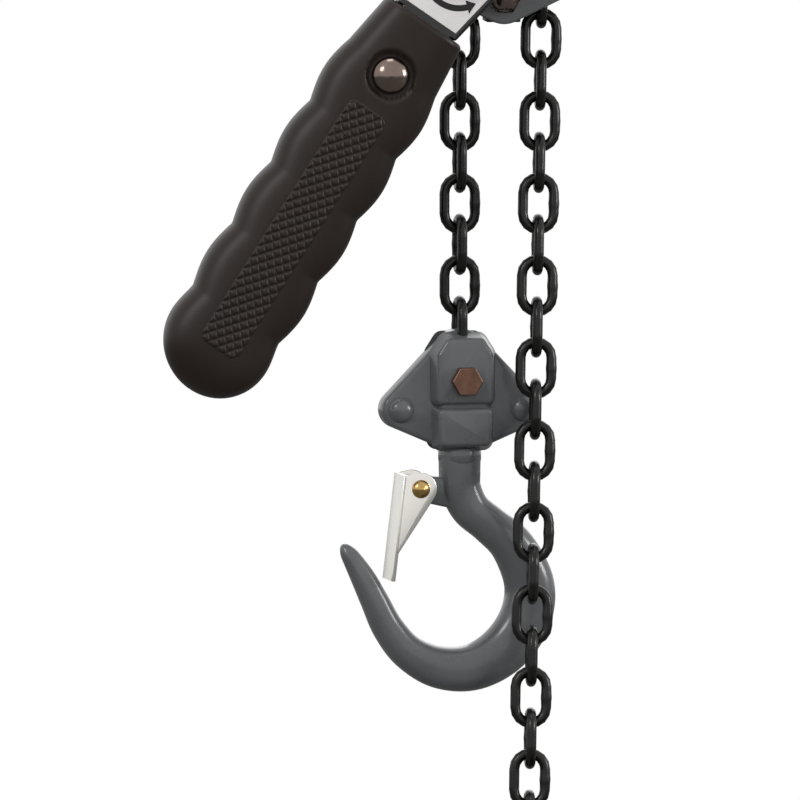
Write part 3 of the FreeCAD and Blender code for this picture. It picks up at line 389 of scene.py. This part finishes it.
def make_finishes(colours):
    """One material for each of the record's slots, and the ink of the printed arrow."""
    # baked enamel over forgings and pressings: half gloss, with a soft orange-peel ripple
    enamel = dict(roughness=0.28, mottle=0.10, mottle_mm=14.0, grain_mm=1.6, grain=0.30, depth_mm=0.08,
                  Coat_Weight=0.35, Coat_Roughness=0.12)
    finish("grey_paint", colours.paint, **enamel)
    finish("block_rivet_paint", colours.paint, **enamel)
    # hardened and blackened alloy steel: near black, oily, with grey light along each bar
    finish("black_chain", colours.chain, 0.26, 0.35, mottle=0.35, mottle_mm=4.0, grain_mm=0.5, grain=0.3,
           depth_mm=0.04, Specular_IOR_Level=0.6)
    # moulded rubber: dull, warm, with a fine spark-eroded texture
    finish("grip_rubber", colours.rubber, 0.42, mottle=0.10, mottle_mm=22.0, grain_mm=0.35, grain=0.30,
           depth_mm=0.05, Specular_IOR_Level=0.35)
    # black enamel on pressed steel: glossy
    finish("black_shell", colours.shell, 0.24, mottle=0.12, grain=0.2, Coat_Weight=0.5,
           Coat_Roughness=0.1)
    # printed polyester film: silver-white, satin
    finish("label_plate", colours.label, 0.34, 0.15, mottle=0.03, grain=0.06)
    finish("label_ink", colours.ink, 0.30, mottle=0.05, grain=0.06)
    # copper flash over a turned bolt: dull brown metal
    finish("copper_bolt", colours.copper, 0.34, 1.0, mottle=0.22, mottle_mm=2.5, grain=0.2)
    # bright nickel on pressed strip: white, satin
    finish("bright_latch", colours.bright, 0.24, 0.95, mottle=0.05, mottle_mm=6.0, grain=0.10)
    # yellow passivated rivet
    finish("gold_rivet", colours.gold, 0.22, 1.0, mottle=0.15, mottle_mm=2.0, grain=0.1)
    # oil-tempered spring wire
    finish("spring_steel", "#222021", 0.38, 0.7, mottle=0.2, mottle_mm=2.0)
    # polished domes
    finish("bright_nut", colours.nut, 0.18, 1.0, mottle=0.10, mottle_mm=3.0, grain=0.08)
    # ground shafts and cut gears
    finish("machined_steel", "#a9a8a5", 0.28, 1.0, mottle=0.08, mottle_mm=3.0, grain=0.12)
    finish("bronze", "#9a7440", 0.32, 1.0, mottle=0.15, mottle_mm=4.0)
    # sand-cast guide left rough
    finish("cast_guide", "#3b3d3e", 0.6, 0.6, mottle=0.2, grain_mm=0.8, grain=0.6, depth_mm=0.12)
    # pressed fibre lining
    finish("friction_lining", "#5d4a38", 0.85, mottle=0.3, mottle_mm=1.5, grain=0.5)
    # glass-filled nylon, moulded
    finish("knob_plastic", "#1c1b1b", 0.45, mottle=0.08, grain_mm=0.4, grain=0.35)
    finish("tie_nylon", "#2a2a2b", 0.42, mottle=0.08, grain_mm=0.8, grain=0.2)


# ---- chain ------------------------------------------------------------------------------------------
def unit(vector):
    """Vector of length one."""
    return vector / np.linalg.norm(vector)


class Chain:
    """Places of the links, each hanging in the last one's end."""

    def __init__(self, sizes):
        self.wire = sizes.wire / 2
        self.bend = sizes.link_width / 2 - self.wire
        self.inside = sizes.pitch + sizes.link_play
        self.arm = sizes.pitch / 2 + self.wire
        self.pitch = sizes.pitch
        turn = math.pi / 3
        self.flat_reach = (self.arm - self.bend + (self.bend - 2 * self.wire) * math.cos(turn / 2)
                           + self.arm * math.cos(turn)) / math.sin(turn)
        self.upright_reach = (self.flat_reach * math.cos(turn)
                              + (self.bend - 2 * self.wire) * math.sin(turn / 2)
                              + self.arm * math.sin(turn))

    def next_centre(self, centre, direction, following, bent_flat):
        """Centre of the next link: this one's arm, the bend between them and the next one's arm."""
        middle = unit(direction + following)
        across_bend, in_bend = (following, direction) if bent_flat else (direction, following)
        reach = across_bend * self.arm + in_bend * (self.arm - self.bend) + middle * self.bend
        return centre + reach - middle * 2 * self.wire

    def on_sheave(self, turn, reach):
        """A place on the sheave and the direction of a descent there."""
        side = 1 if math.cos(turn) > 0 else -1
        place = np.array([reach * math.cos(turn), 0, reach * math.sin(turn)])
        return place, np.array([side * math.sin(turn), 0, -side * math.cos(turn)])

    def link(self, swell, count=16, bend_steps=9):
        """One link: a circle carried round two half-rings and two straights, thicker at its weld."""
        half = self.inside / 2 + self.wire - self.bend
        arc = np.linspace(0, math.pi, bend_steps)
        straight = np.linspace(half, -half, 7)[1:-1]
        x = np.concatenate([self.bend * np.cos(arc), -self.bend + 0 * straight,
                            -self.bend * np.cos(arc), self.bend + 0 * straight])
        z = np.concatenate([half + self.bend * np.sin(arc), straight,
                            -half - self.bend * np.sin(arc), -straight])
        outward = np.concatenate([np.stack([np.cos(arc), np.sin(arc)], -1), [[-1, 0]] * 5,
                                  np.stack([-np.cos(arc), -np.sin(arc)], -1), [[1, 0]] * 5])
        radius = self.wire + swell * np.exp(-(z / 1.1) ** 2) * (x > 0)
        turn = np.linspace(0, 2 * math.pi, count, endpoint=False)
        ring_x = x[:, None] + outward[:, :1] * radius[:, None] * np.cos(turn)
        ring_z = z[:, None] + outward[:, 1:] * radius[:, None] * np.cos(turn)
        ring_y = radius[:, None] * np.sin(turn)
        points = np.stack([ring_x, ring_y, ring_z], -1)
        return points.reshape(-1, 3), grid_faces(len(x), count, loop=True)

    def placed(self, link, centre, direction, quarter, twist=0.0):
        """A copy of the link, turned about its length and then towards its direction."""
        turn = Matrix.Rotation(math.radians(90 * quarter + twist), 3, "Z")
        swing = Vector(DOWN).rotation_difference(Vector(direction)).to_matrix()
        return link[0] @ np.array(swing @ turn).T + centre, link[1]


def hank_directions(sizes):
    """Directions of the stored links: straight runs joined by folds of 45, 90 and 45 degrees."""
    directions = []
    for row in range(sizes.hank_side):
        for column in range(sizes.hank_side):
            heading = DOWN * (-1) ** (row * sizes.hank_side + column)
            directions += [heading] * sizes.hank_links
            if column == sizes.hank_side - 1:
                if row == sizes.hank_side - 1:
                    break
                side = np.array([0.0, -1.0, 0.0])
            else:
                side = np.array([1.0, 0.0, 0.0]) * (-1) ** row
            directions += [unit(heading + side), unit(side - heading)]
    return directions


TAIL = unit(np.array([-4.0, -13.7, -206.0]))


def make_chains(sizes):
    """All links: over the sheave, down to the load block, and the slack side with its tied hank."""
    chain = Chain(sizes)
    link = chain.link(sizes.weld_swell)
    step = math.pi / 3
    over = []
    for number in (-1, 0, 1):
        reach = chain.upright_reach if number else chain.flat_reach
        centre, travel = chain.on_sheave(math.pi / 2 + number * step, reach)
        over.append(chain.placed(link, HUB + centre, travel, 0 if number else 1))
    last = math.pi / 2 + step
    first_load = chain.next_centre(*chain.on_sheave(last, chain.upright_reach), DOWN, True)
    first_tail = chain.next_centre(*chain.on_sheave(math.pi - last, chain.upright_reach), TAIL, True)
    over += [chain.placed(link, HUB + first_load, DOWN, 1), chain.placed(link, HUB + first_tail, TAIL, 1)]
    make_piece("chain_over_sheave", over, ["sheave_chain"])
    hanging = {"load_chain": [], "end_link": []}
    for number in range(2, sizes.load_links + 1):
        centre = HUB + first_load + DOWN * ((number - 1) * chain.pitch)
        twist = sizes.block_twist * number / sizes.load_links
        node = "end_link" if number == sizes.load_links else "load_chain"
        hanging[node].append(chain.placed(link, centre, DOWN, number % 2, twist))
    for node, links in hanging.items():
        make_piece(node + "_links", links, [node])
    centre, direction, slack = HUB + first_tail, TAIL, []
    for number in range(2, sizes.tail_links + 1):
        centre = centre + TAIL * chain.pitch
        slack.append(chain.placed(link, centre, TAIL, number % 2))
    for number, following in enumerate(hank_directions(sizes), sizes.tail_links + 1):
        along_y = abs(direction[1] + following[1]) > abs(direction[0] + following[0])
        last_is_flat = (number - 1) % 2 == 0
        centre = chain.next_centre(centre, direction, following, last_is_flat != along_y)
        direction = following
        slack.append(chain.placed(link, centre, direction, number % 2))
    make_piece("slack_chain_links", slack, ["tail_chain"])


# ---- hooks, latches and blocks --------------------------------------------------------------------
# middle line of the hook from its neck to its point: x, z, half width, half depth
HOOK_STATIONS = (
    (0.0, -22.0, 6.1, 5.8), (0.0, -27.0, 6.0, 5.8), (0.3, -32.0, 5.9, 5.7), (3.2, -38.0, 5.7, 5.8),
    (8.9, -42.8, 5.7, 5.9), (15.8, -49.2, 6.4, 6.0), (20.8, -60.2, 7.3, 6.0), (19.6, -70.6, 7.6, 6.0),
    (13.4, -79.4, 7.4, 6.0), (4.0, -84.6, 6.8, 6.0), (-6.4, -84.4, 6.2, 5.9), (-15.4, -79.8, 5.2, 5.6),
    (-21.4, -72.6, 4.6, 5.2), (-25.2, -65.0, 4.1, 4.8), (-28.6, -58.2, 3.6, 4.2), (-31.6, -53.0, 2.9, 3.4),
    (-33.4, -50.2, 2.3, 2.7), (-34.6, -48.4, 1.2, 1.5), (-34.9, -47.9, 0.3, 0.4),
)


def make_hooks():
    """Forged hooks: an oval section along the hook's middle line, with a collar and a latch ear."""
    line = smooth_through(HOOK_STATIONS, 150)
    centres = np.stack([line[:, 0], 0 * line[:, 0], line[:, 1]], -1)
    heading = np.gradient(line[:, :2], axis=0)
    heading /= np.linalg.norm(heading, axis=1)[:, None]
    sides = np.stack([heading[:, 1], 0 * heading[:, 0], -heading[:, 0]], -1)
    body = carried(centres, sides, line[:, 2], line[:, 3], 2.5)
    ear = slab(rounded_outline([(-13, -31.5, 3.8), (-1.5, -33.5, 4.4)]), soft_edges(-3, 3, 0.9))
    collar = turned([(4.2, -1.0), (5.8, -0.6), (6.3, 0.2), (6.3, 3.4), (5.9, 3.9), (4.0, 4.0)])
    upright = collar[0][:, [0, 2, 1]] + (0, 0, -23.8)
    shank = turned([(4.0, 0.0), (4.0, 13.0)])
    shank_up = shank[0][:, [0, 2, 1]] + (0, 0, -24.5)
    for end, place in ENDS.items():
        parts = [place(part) for part in (body, ear, (upright, collar[1]), (shank_up, shank[1]))]
        make_piece(end + "_hook_forging", parts, [end + "_hook"])


LATCH_SPINE = ((-17.0, -27.5), (-20.6, -58.4))      # inner face of the strip
LATCH_CHEEK = ((-13.0, -31.5, 4.8), (-17.5, -28.0, 0.5), (-20.1, -50.0, 0.5))


def make_latches():
    """Pressed latches: a strip across the hook's mouth, with a cheek each side that reaches the rivet."""
    cheek = slab(rounded_outline(LATCH_CHEEK), soft_edges(-7.4, -6.4, 0.3))
    (top_x, top_z), (foot_x, foot_z) = LATCH_SPINE
    strip = slab(((top_x - 1, top_z), (foot_x - 1, foot_z), (foot_x, foot_z), (top_x, top_z)),
                 soft_edges(-7.4, 7.4, 0.3))
    rivet_head = turned([(0.05, -8.9), (1.0, -8.8), (2.0, -8.3), (2.6, -7.7), (2.7, -7.5), (0.05, -7.4)],
                        -13, -31.5)
    hub = turned([(0.05, -9.2), (0.5, -9.15), (0.8, -9.0), (0.9, -8.6), (0.05, -8.5)], -13, -31.5)
    shaft = turned([(1.9, -7.6), (1.9, 7.6)], -13, -31.5)
    for end, place in ENDS.items():
        parts = [cheek, strip, mirrored(cheek)]
        make_piece(end + "_latch_pressing", [place(part) for part in parts], [end + "_latch"])
        parts = [rivet_head, hub, shaft, mirrored(rivet_head), mirrored(hub)]
        make_piece(end + "_latch_rivet_turned", [place(part) for part in parts], [end + "_latch_rivet"])


BLOCK_RIVET = (18.2, -8.6)
BLOCK_FLANGE = ((-7.5, -15.6, 3.4), (7.5, -15.6, 3.4), (*BLOCK_RIVET, 5.6), (0.0, 6.5, 8.4),
                (-BLOCK_RIVET[0], BLOCK_RIVET[1], 5.6))


def block_half(depth):
    """Front half of a block: flange with two lobes, an upper boss and a stepped lower boss."""
    flange = slab(rounded_outline(BLOCK_FLANGE, 8.0),
                  [(0.0, 0.0), (0.0, -2.9), (0.25, -3.5), (0.8, -3.9), (1.6, -4.0)])
    corner = 1.6
    upper_box = [(-6.9, -5.2, corner), (6.9, -5.2, corner), (6.9, 7.4, corner), (4.6, 11.0, corner),
                 (-4.6, 11.0, corner), (-6.9, 7.4, corner)]
    boss = [(-1.5, -3.4), (-0.7, -5.0), (0.0, -depth + 1.2), (0.3, -depth + 0.5), (0.9, -depth + 0.1),
            (1.6, -depth)]
    upper = slab(rounded_outline(upper_box, 20.0), boss)
    lower_box = [(-6.2, -17.6, corner), (6.2, -17.6, corner), (6.6, -9.6, corner), (-6.6, -9.6, corner)]
    lower = slab(rounded_outline(lower_box, 20.0), boss)
    waist_box = [(-5.4, -15.0, corner), (5.4, -15.0, corner), (5.4, 0.0, corner), (-5.4, 0.0, corner)]
    waist_profile = [(-2.2, -3.0), (-0.8, -4.6), (0.2, -depth + 2.2), (0.6, -depth + 1.7),
                     (1.2, -depth + 1.5)]
    waist = slab(rounded_outline(waist_box, 20.0), waist_profile)
    return [flange, upper, lower, waist]


def make_blocks():
    """Pressed block halves with domes formed over their rivets."""
    for end, depth in (("load", 9.0), ("top", 8.3)):
        place = ENDS[end]
        half = block_half(depth)
        make_piece(end + "_block_front_pressing", [place(part) for part in half], [end + "_block_front"])
        back = [mirrored(part) for part in half]
        make_piece(end + "_block_back_pressing", [place(part) for part in back], [end + "_block_back"])
        domes = []
        for side in (-1, 1):
            dome = turned([(1.9, 0.0), (1.9, -3.0), (3.9, -3.6), (3.7, -4.3), (3.2, -5.1), (2.5, -5.7),
                           (1.6, -6.1), (0.8, -6.25), (0.05, -6.3)], side * BLOCK_RIVET[0], BLOCK_RIVET[1])
            domes += [dome, mirrored(dome)]
        make_piece(end + "_block_rivet_domes", [place(part) for part in domes], [end + "_block_rivets"])


# ---- lever ------------------------------------------------------------------------------------------
GRIP_NOTCHES = (59.5, 80.5, 101.5, 122.5, 143.5)
GRIP_SHOULDER, GRIP_WAIST, GRIP_BULGE, GRIP_TIP = 12.9, 14.9, 16.7, 16.3
SCREW_REACH = 61.5
SCREW_WELL = 6.6
KNURL_START, KNURL_END, KNURL_CORNER = 72.5, 155.0, 3.0
GRIP_LEAN = math.tan(math.radians(2.1))
GRIP_LIP = 1.2                  # radius of the edge at the grip's upper end
WELL_DEPTH, WELL_SLOPE = 1.5, 0.7


def grip_width(reach, end):
    """Half width of the grip: straight shoulders, four finger bulges between the notches, a round end."""
    first, last = GRIP_NOTCHES[0], GRIP_NOTCHES[-1]
    finger = (reach - first) / (GRIP_NOTCHES[1] - first)
    swell = (0.5 - 0.5 * np.cos(2 * np.pi * finger)) ** 0.5
    width = np.where(reach < first, np.interp(reach, [43, first], [GRIP_SHOULDER, GRIP_WAIST]),
                     GRIP_WAIST + (GRIP_BULGE - GRIP_WAIST) * swell)
    centre = end - GRIP_TIP
    ease = np.clip((reach - last) / (centre - last), 0, 1)
    width = np.where(reach > last, GRIP_WAIST + (GRIP_TIP - GRIP_WAIST) * ease ** 1.5 * (2.5 - 1.5 * ease),
                     width)
    past = np.clip((reach - centre) / GRIP_TIP, 0, 1)
    return np.where(reach > centre, GRIP_TIP * np.sqrt(1 - past ** 2), width)


def grip_middle(reach):
    """Sideways place of the grip's middle line, which leans a little below the screw."""
    return GRIP_LEAN * np.clip(reach - SCREW_REACH, 0, None)


def grip_depth(reach, end, half):
    """Half depth of the grip, closing in a fuller curve than the width does."""
    past = np.clip((reach - end + GRIP_TIP) / GRIP_TIP, 0, 1)
    return half * (1 - past ** 2.6) ** (1 / 2.6)


GRIP_POWER = 3.6


def grip_face(across, reach, end, half):
    """Height of the grip's front over its middle plane at a point of the face."""
    width = np.maximum(grip_width(reach, end), 0.01)
    share = np.clip(np.abs(across) / width, 0, 1) ** GRIP_POWER
    return grip_depth(reach, end, half) * (1 - share) ** (1 / GRIP_POWER)


def make_grip(sizes):
    """Rubber grip with a well for its screw and a chequered panel front and back."""
    middle = (sizes.grip_front + sizes.grip_back) / 2
    half = (sizes.grip_back - sizes.grip_front) / 2
    end = sizes.grip_end
    straight = np.linspace(sizes.grip_top, end - GRIP_TIP, 180)
    round_end = end - GRIP_TIP + GRIP_TIP * np.sin(np.linspace(0, 0.4995 * np.pi, 34)[1:])
    lip = sizes.grip_top + GRIP_LIP * (1 - np.cos(np.radians([0, 30, 60, 90])))
    reach = np.concatenate([lip, straight[straight > lip[-1] + 0.2], round_end])
    lip_share = np.clip((reach - sizes.grip_top) / GRIP_LIP, 0, 1)
    rounding = GRIP_LIP * (1 - np.sqrt(np.clip(1 - (1 - lip_share) ** 2, 0, 1)))
    widths = grip_width(reach, end) - rounding
    depths = grip_depth(reach, end, half) - rounding
    centres = np.stack([grip_middle(reach), 0 * reach + middle, -reach], -1)
    sides = np.tile([1.0, 0.0, 0.0], (len(reach), 1))
    points, faces = carried(centres, sides, widths, depths, GRIP_POWER, 160)
    distance = np.hypot(points[:, 0], points[:, 2] + SCREW_REACH)
    sunk = np.clip((SCREW_WELL + WELL_SLOPE - distance) / WELL_SLOPE, 0, 1)
    outer = np.abs(points[:, 1] - middle) > half - 1.0
    points[:, 1] -= np.sign(points[:, 1] - middle) * WELL_DEPTH * sunk * sunk * (3 - 2 * sunk) * outer
    parts = [(points, faces)]
    panel = knurled_panel(sizes, end, half)
    for side in (-1, 1):
        top, bottom = panel
        raised = [np.stack([layer[..., 0], middle + side * layer[..., 1], layer[..., 2]], -1)
                  for layer in (top, bottom)]
        parts.append(closed_sheet(*raised))
    make_piece("lever_grip_moulding", [at_lever(part) for part in parts], ["lever_grip"], 60.0)


def knurled_panel(sizes, end, half):
    """Diamond cushions standing on the grip's face, between grooves that slant both ways."""
    u = np.linspace(-sizes.knurl_width / 2 - 0.4, sizes.knurl_width / 2 + 0.4, 52)[:, None]
    v = np.linspace(KNURL_START - 0.4, KNURL_END + 0.4, 250)[None, :]
    long_pitch = sizes.knurl_pitch * 1.25
    slant = (u / sizes.knurl_pitch + v / long_pitch, u / sizes.knurl_pitch - v / long_pitch)
    edge = np.maximum(*[2 * np.abs(s - np.floor(s) - 0.5) for s in slant])
    height = sizes.knurl_height * np.minimum(1, 2.2 * (1 - edge))
    past_side = np.clip(np.abs(u) - sizes.knurl_width / 2 + KNURL_CORNER, 0, None)
    past_end = np.clip(np.abs(v - (KNURL_START + KNURL_END) / 2) - (KNURL_END - KNURL_START) / 2
                       + KNURL_CORNER, 0, None)
    border = np.hypot(past_side, past_end) - KNURL_CORNER
    inside = np.clip(-border / 0.5, 0, 1)
    face = grip_face(u + 0 * v, v + 0 * u, end, half)
    top = face + height * inside - 0.22 * (1 - inside)
    x, z = u + grip_middle(v), -v + 0 * u
    return np.stack([x, top, z], -1), np.stack([x, face - 0.8, z], -1)


def closed_sheet(top, bottom):
    """Two grids of the same size joined round their rims."""
    rows, columns = top.shape[:2]
    index = np.arange(rows * columns).reshape(rows, columns)
    quads = np.stack([index[:-1, :-1], index[1:, :-1], index[1:, 1:], index[:-1, 1:]], -1).reshape(-1, 4)
    under = quads[:, ::-1] + rows * columns
    rim = np.concatenate([index[0, :], index[1:, -1], index[-1, -2::-1], index[-2:0:-1, 0]])
    ahead = np.roll(rim, -1)
    wall = np.stack([rim, ahead, ahead + rows * columns, rim + rows * columns], -1)
    points = np.concatenate([top.reshape(-1, 3), bottom.reshape(-1, 3)])
    return points, np.concatenate([quads, under, wall]).tolist()


ARROW_CENTRE = -26.5            # the selector's axis, along the lever
LABEL_FACE = -39.6


def make_arrow():
    """Curved arrow printed on the label: a band of a ring with a pointed head at one end."""
    radius, half_band, head = 9.6, 0.9, 2.0
    turn = np.radians(np.linspace(-103, -41, 24))
    outer = np.stack([np.cos(turn), np.sin(turn)], -1) * (radius + half_band)
    inner = np.stack([np.cos(turn), np.sin(turn)], -1)[::-1] * (radius - half_band)
    tip_turn = turn[-1] + math.radians(16)
    tip = [[radius * math.cos(tip_turn), radius * math.sin(tip_turn)]]
    base = np.array([math.cos(turn[-1]), math.sin(turn[-1])])
    outline = np.concatenate([outer, [base * (radius + head)], tip, [base * (radius - head)], inner])
    outline[:, 1] += ARROW_CENTRE
    arrow = slab(outline, [(0.0, LABEL_FACE + 0.1), (0.0, LABEL_FACE - 0.06)])
    make_piece("selector_arrow", [at_lever(arrow)], ["lever_label"], material="label_ink")


def make_grip_screw():
    """Polished domed screw in the grip's well, with its domed nut behind."""
    dome = [(0.05, -44.9), (1.7, -44.75), (3.2, -44.3), (4.4, -43.6), (5.2, -42.7), (5.5, -41.9),
            (5.5, -41.4), (2.5, -41.3), (2.5, -19.6), (0.05, -19.5)]
    screw = turned(dome, 0, -SCREW_REACH, 56)
    make_piece("grip_screw_polished", [at_lever(screw)], ["grip_screw"])
    cap = [(2.5, -19.8), (5.2, -19.7), (5.2, -18.5), (4.6, -17.6), (3.4, -16.9), (1.6, -16.5),
           (0.05, -16.45)]
    make_piece("grip_nut_polished", [at_lever(turned(cap, 0, -SCREW_REACH, 56))], ["grip_nut"])


# shown nodes that keep their own shape, with the radius of their edges in millimetres
DRESSED = {
    "front_plate": 0.5, "back_plate": 0.5, "stay_bolts": 0.2, "cap_nuts": 0.25, "brake_cover": 0.7,
    "cover_screws": 0.15, "gear_case": 0.9, "case_screws": 0.2, "yoke_pin": 0.2,
    "lever_front_shell": 0.7, "lever_back_shell": 0.7, "lever_rivets": 0.0, "lever_label": 0.1,
    "selector_knob": 0.4, "free_chain_knob": 0.9, "knob_nut": 0.25, "load_block_bolt": 0.3,
    "load_block_nut": 0.3, "load_latch_spring": 0.0, "top_latch_spring": 0.0, "tail_end_ring": 0.0,
    "hank_tie": 0.3, "chain_guide": 0.4, "load_sheave": 0.2, "load_swivel_nut": 0.2, "top_swivel_nut": 0.2,
}


# ---- stage ------------------------------------------------------------------------------------------
VIEW_TURN, VIEW_RISE = math.radians(3.5), math.radians(4.0)
VIEW_OFFSET = (-29.6, -146.9)   # middle of the view from the hub, to the right and up
VIEW_WIDTH = 233.2
VIEW_DISTANCE = 3000.0
# name, place from the middle of the view in metres, width in metres, power in watts
LAMPS = (("key", (-0.9, -1.1, 0.8), 0.4, 4.5), ("side", (1.3, -0.5, 0.3), 0.4, 6.0),
         ("top", (0.0, -0.2, 1.5), 0.5, 2.5), ("rear", (0.3, 1.3, 0.6), 0.9, 3.0))
FLOOR_REACH = 4.0               # metres from the middle to each side
FLOOR_DROP = 20.0


def make_stage():
    """Long-lens camera, large soft lights, white surroundings and a pale floor."""
    scene = bpy.context.scene
    right = np.array([math.cos(VIEW_TURN), -math.sin(VIEW_TURN), 0.0])
    ahead = np.array([math.sin(VIEW_TURN) * math.cos(VIEW_RISE), math.cos(VIEW_TURN) * math.cos(VIEW_RISE),
                      -math.sin(VIEW_RISE)])
    up = np.cross(right, ahead)
    target = HUB + right * VIEW_OFFSET[0] + up * VIEW_OFFSET[1]
    lens = bpy.data.cameras.new("camera")
    camera = bpy.data.objects.new("camera", lens)
    scene.collection.objects.link(camera)
    lens.lens = lens.sensor_width * VIEW_DISTANCE / VIEW_WIDTH
    lens.clip_end = 50
    basis = Matrix(np.stack([right, up, -ahead], -1).tolist()).to_4x4()
    camera.matrix_world = Matrix.Translation(Vector((target - ahead * VIEW_DISTANCE) * MM)) @ basis
    scene.camera = camera
    aim = Vector(target * MM)
    for name, offset, size, power in LAMPS:
        light = bpy.data.lights.new(name, "AREA")
        light.shape = "SQUARE"
        light.size = size
        light.energy = power
        lamp = bpy.data.objects.new(name, light)
        lamp.location = aim + Vector(offset)
        lamp.rotation_euler = (-Vector(offset)).to_track_quat("-Z", "Y").to_euler()
        scene.collection.objects.link(lamp)
    make_surroundings(scene)
    floor_mesh = bpy.data.meshes.new("floor")
    low = CAD_BOX[0].z - FLOOR_DROP * MM
    corners = [(x * FLOOR_REACH, y * FLOOR_REACH, low) for x, y in ((-1, -1), (1, -1), (1, 1), (-1, 1))]
    floor_mesh.from_pydata(corners, [], [(0, 1, 2, 3)])
    floor_mesh.materials.append(floor_finish())
    floor = bpy.data.objects.new("floor", floor_mesh)
    scene.collection.objects.link(floor)


def floor_finish():
    """White where the camera sees it, and a plain pale surface to the light."""
    material = finish("pale_floor", "#6c6c6a", 0.9, mottle=0.01)
    tree = material.node_tree
    white = add(material, "Emission", {"Color": (1, 1, 1, 1), "Strength": 1.0})
    choice = add(material, "MixShader", {"Fac": add(material, "LightPath").outputs["Is Camera Ray"]})
    tree.links.new(tree.nodes["Principled BSDF"].outputs["BSDF"], choice.inputs[1])
    tree.links.new(white.outputs[0], choice.inputs[2])
    tree.links.new(choice.outputs[0], tree.nodes["Material Output"].inputs["Surface"])
    return material


def make_surroundings(scene):
    """White to the camera, and a slightly weaker even light on the object."""
    world = bpy.data.worlds.new("surroundings")
    world.use_nodes = True
    tree = world.node_tree
    even = tree.nodes["Background"]
    even.inputs["Color"].default_value = (1, 1, 1, 1)
    even.inputs["Strength"].default_value = 0.85
    white = tree.nodes.new("ShaderNodeBackground")
    white.inputs["Color"].default_value = (1, 1, 1, 1)
    white.inputs["Strength"].default_value = 1.0
    choice = tree.nodes.new("ShaderNodeMixShader")
    path = tree.nodes.new("ShaderNodeLightPath")
    tree.links.new(path.outputs["Is Camera Ray"], choice.inputs[0])
    tree.links.new(even.outputs[0], choice.inputs[1])
    tree.links.new(white.outputs[0], choice.inputs[2])
    tree.links.new(choice.outputs[0], tree.nodes["World Output"].inputs[0])
    scene.world = world
    scene.view_settings.view_transform = "Standard"


# ---- operators --------------------------------------------------------------------------------------
class HOIST_OT_stage(bpy.types.Operator):
    """Make the camera, lights, surroundings and floor"""

    bl_idname = "hoist.stage"
    bl_label = "Stage"

    def execute(self, context):
        make_stage()
        return {"FINISHED"}


class HOIST_OT_finishes(bpy.types.Operator):
    """Make the materials and give them to the nodes that keep their own shape"""

    bl_idname = "hoist.finishes"
    bl_label = "Finishes"

    def execute(self, context):
        make_finishes(context.scene.hoist_colours)
        for node, piece in frame["nodes"].items():
            piece.data.materials.clear()
            piece.data.materials.append(bpy.data.materials[SLOTS[node]])
        return {"FINISHED"}


class HOIST_OT_chains(bpy.types.Operator):
    """Make the links of the load chain and the slack chain"""

    bl_idname = "hoist.chains"
    bl_label = "Chains"

    def execute(self, context):
        make_chains(context.scene.hoist_sizes)
        return {"FINISHED"}


class HOIST_OT_hooks(bpy.types.Operator):
    """Make the two forged hooks"""

    bl_idname = "hoist.hooks"
    bl_label = "Hooks"

    def execute(self, context):
        make_hooks()
        return {"FINISHED"}


class HOIST_OT_latches(bpy.types.Operator):
    """Make the two pressed latches and their rivets"""

    bl_idname = "hoist.latches"
    bl_label = "Latches"

    def execute(self, context):
        make_latches()
        return {"FINISHED"}


class HOIST_OT_blocks(bpy.types.Operator):
    """Make the halves of the two hook blocks and the domes over their rivets"""

    bl_idname = "hoist.blocks"
    bl_label = "Blocks"

    def execute(self, context):
        make_blocks()
        return {"FINISHED"}


class HOIST_OT_grip(bpy.types.Operator):
    """Make the rubber grip and the screw and nut that hold it"""

    bl_idname = "hoist.grip"
    bl_label = "Grip"

    def execute(self, context):
        make_grip(context.scene.hoist_sizes)
        make_grip_screw()
        return {"FINISHED"}


class HOIST_OT_label(bpy.types.Operator):
    """Print the arrow on the lever's label"""

    bl_idname = "hoist.label"
    bl_label = "Label arrow"

    def execute(self, context):
        make_arrow()
        return {"FINISHED"}


class HOIST_OT_fittings(bpy.types.Operator):
    """Weld and soften the plates, covers, nuts, knobs and shells"""

    bl_idname = "hoist.fittings"
    bl_label = "Fittings"

    def execute(self, context):
        for node, edge in DRESSED.items():
            dressed(node, edge)
        return {"FINISHED"}


STEPS = (HOIST_OT_stage, HOIST_OT_finishes, HOIST_OT_chains, HOIST_OT_hooks, HOIST_OT_latches,
         HOIST_OT_blocks, HOIST_OT_grip, HOIST_OT_label, HOIST_OT_fittings)


class HOIST_PT_panel(bpy.types.Panel):
    """Steps that make the hoist, in order"""

    bl_idname = "HOIST_PT_panel"
    bl_label = "Lever chain hoist"
    bl_space_type = "VIEW_3D"
    bl_region_type = "UI"
    bl_category = "Hoist"

    def draw(self, context):
        for group in (context.scene.hoist_sizes, context.scene.hoist_colours):
            column = self.layout.column(align=True)
            for name in group.__annotations__:
                column.prop(group, name)
        for step in STEPS:
            self.layout.operator(step.bl_idname)


CLASSES = (HoistSizes, HoistColours, *STEPS, HOIST_PT_panel)


def register():
    for cls in CLASSES:
        bpy.utils.register_class(cls)
    bpy.types.Scene.hoist_sizes = PointerProperty(type=HoistSizes)
    bpy.types.Scene.hoist_colours = PointerProperty(type=HoistColours)


def unregister():
    del bpy.types.Scene.hoist_colours
    del bpy.types.Scene.hoist_sizes
    for cls in reversed(CLASSES):
        bpy.utils.unregister_class(cls)


def main():
    register()
    for step in STEPS:
        group, name = step.bl_idname.split(".")
        getattr(getattr(bpy.ops, group), name)()


if __name__ == "__main__":
    main()
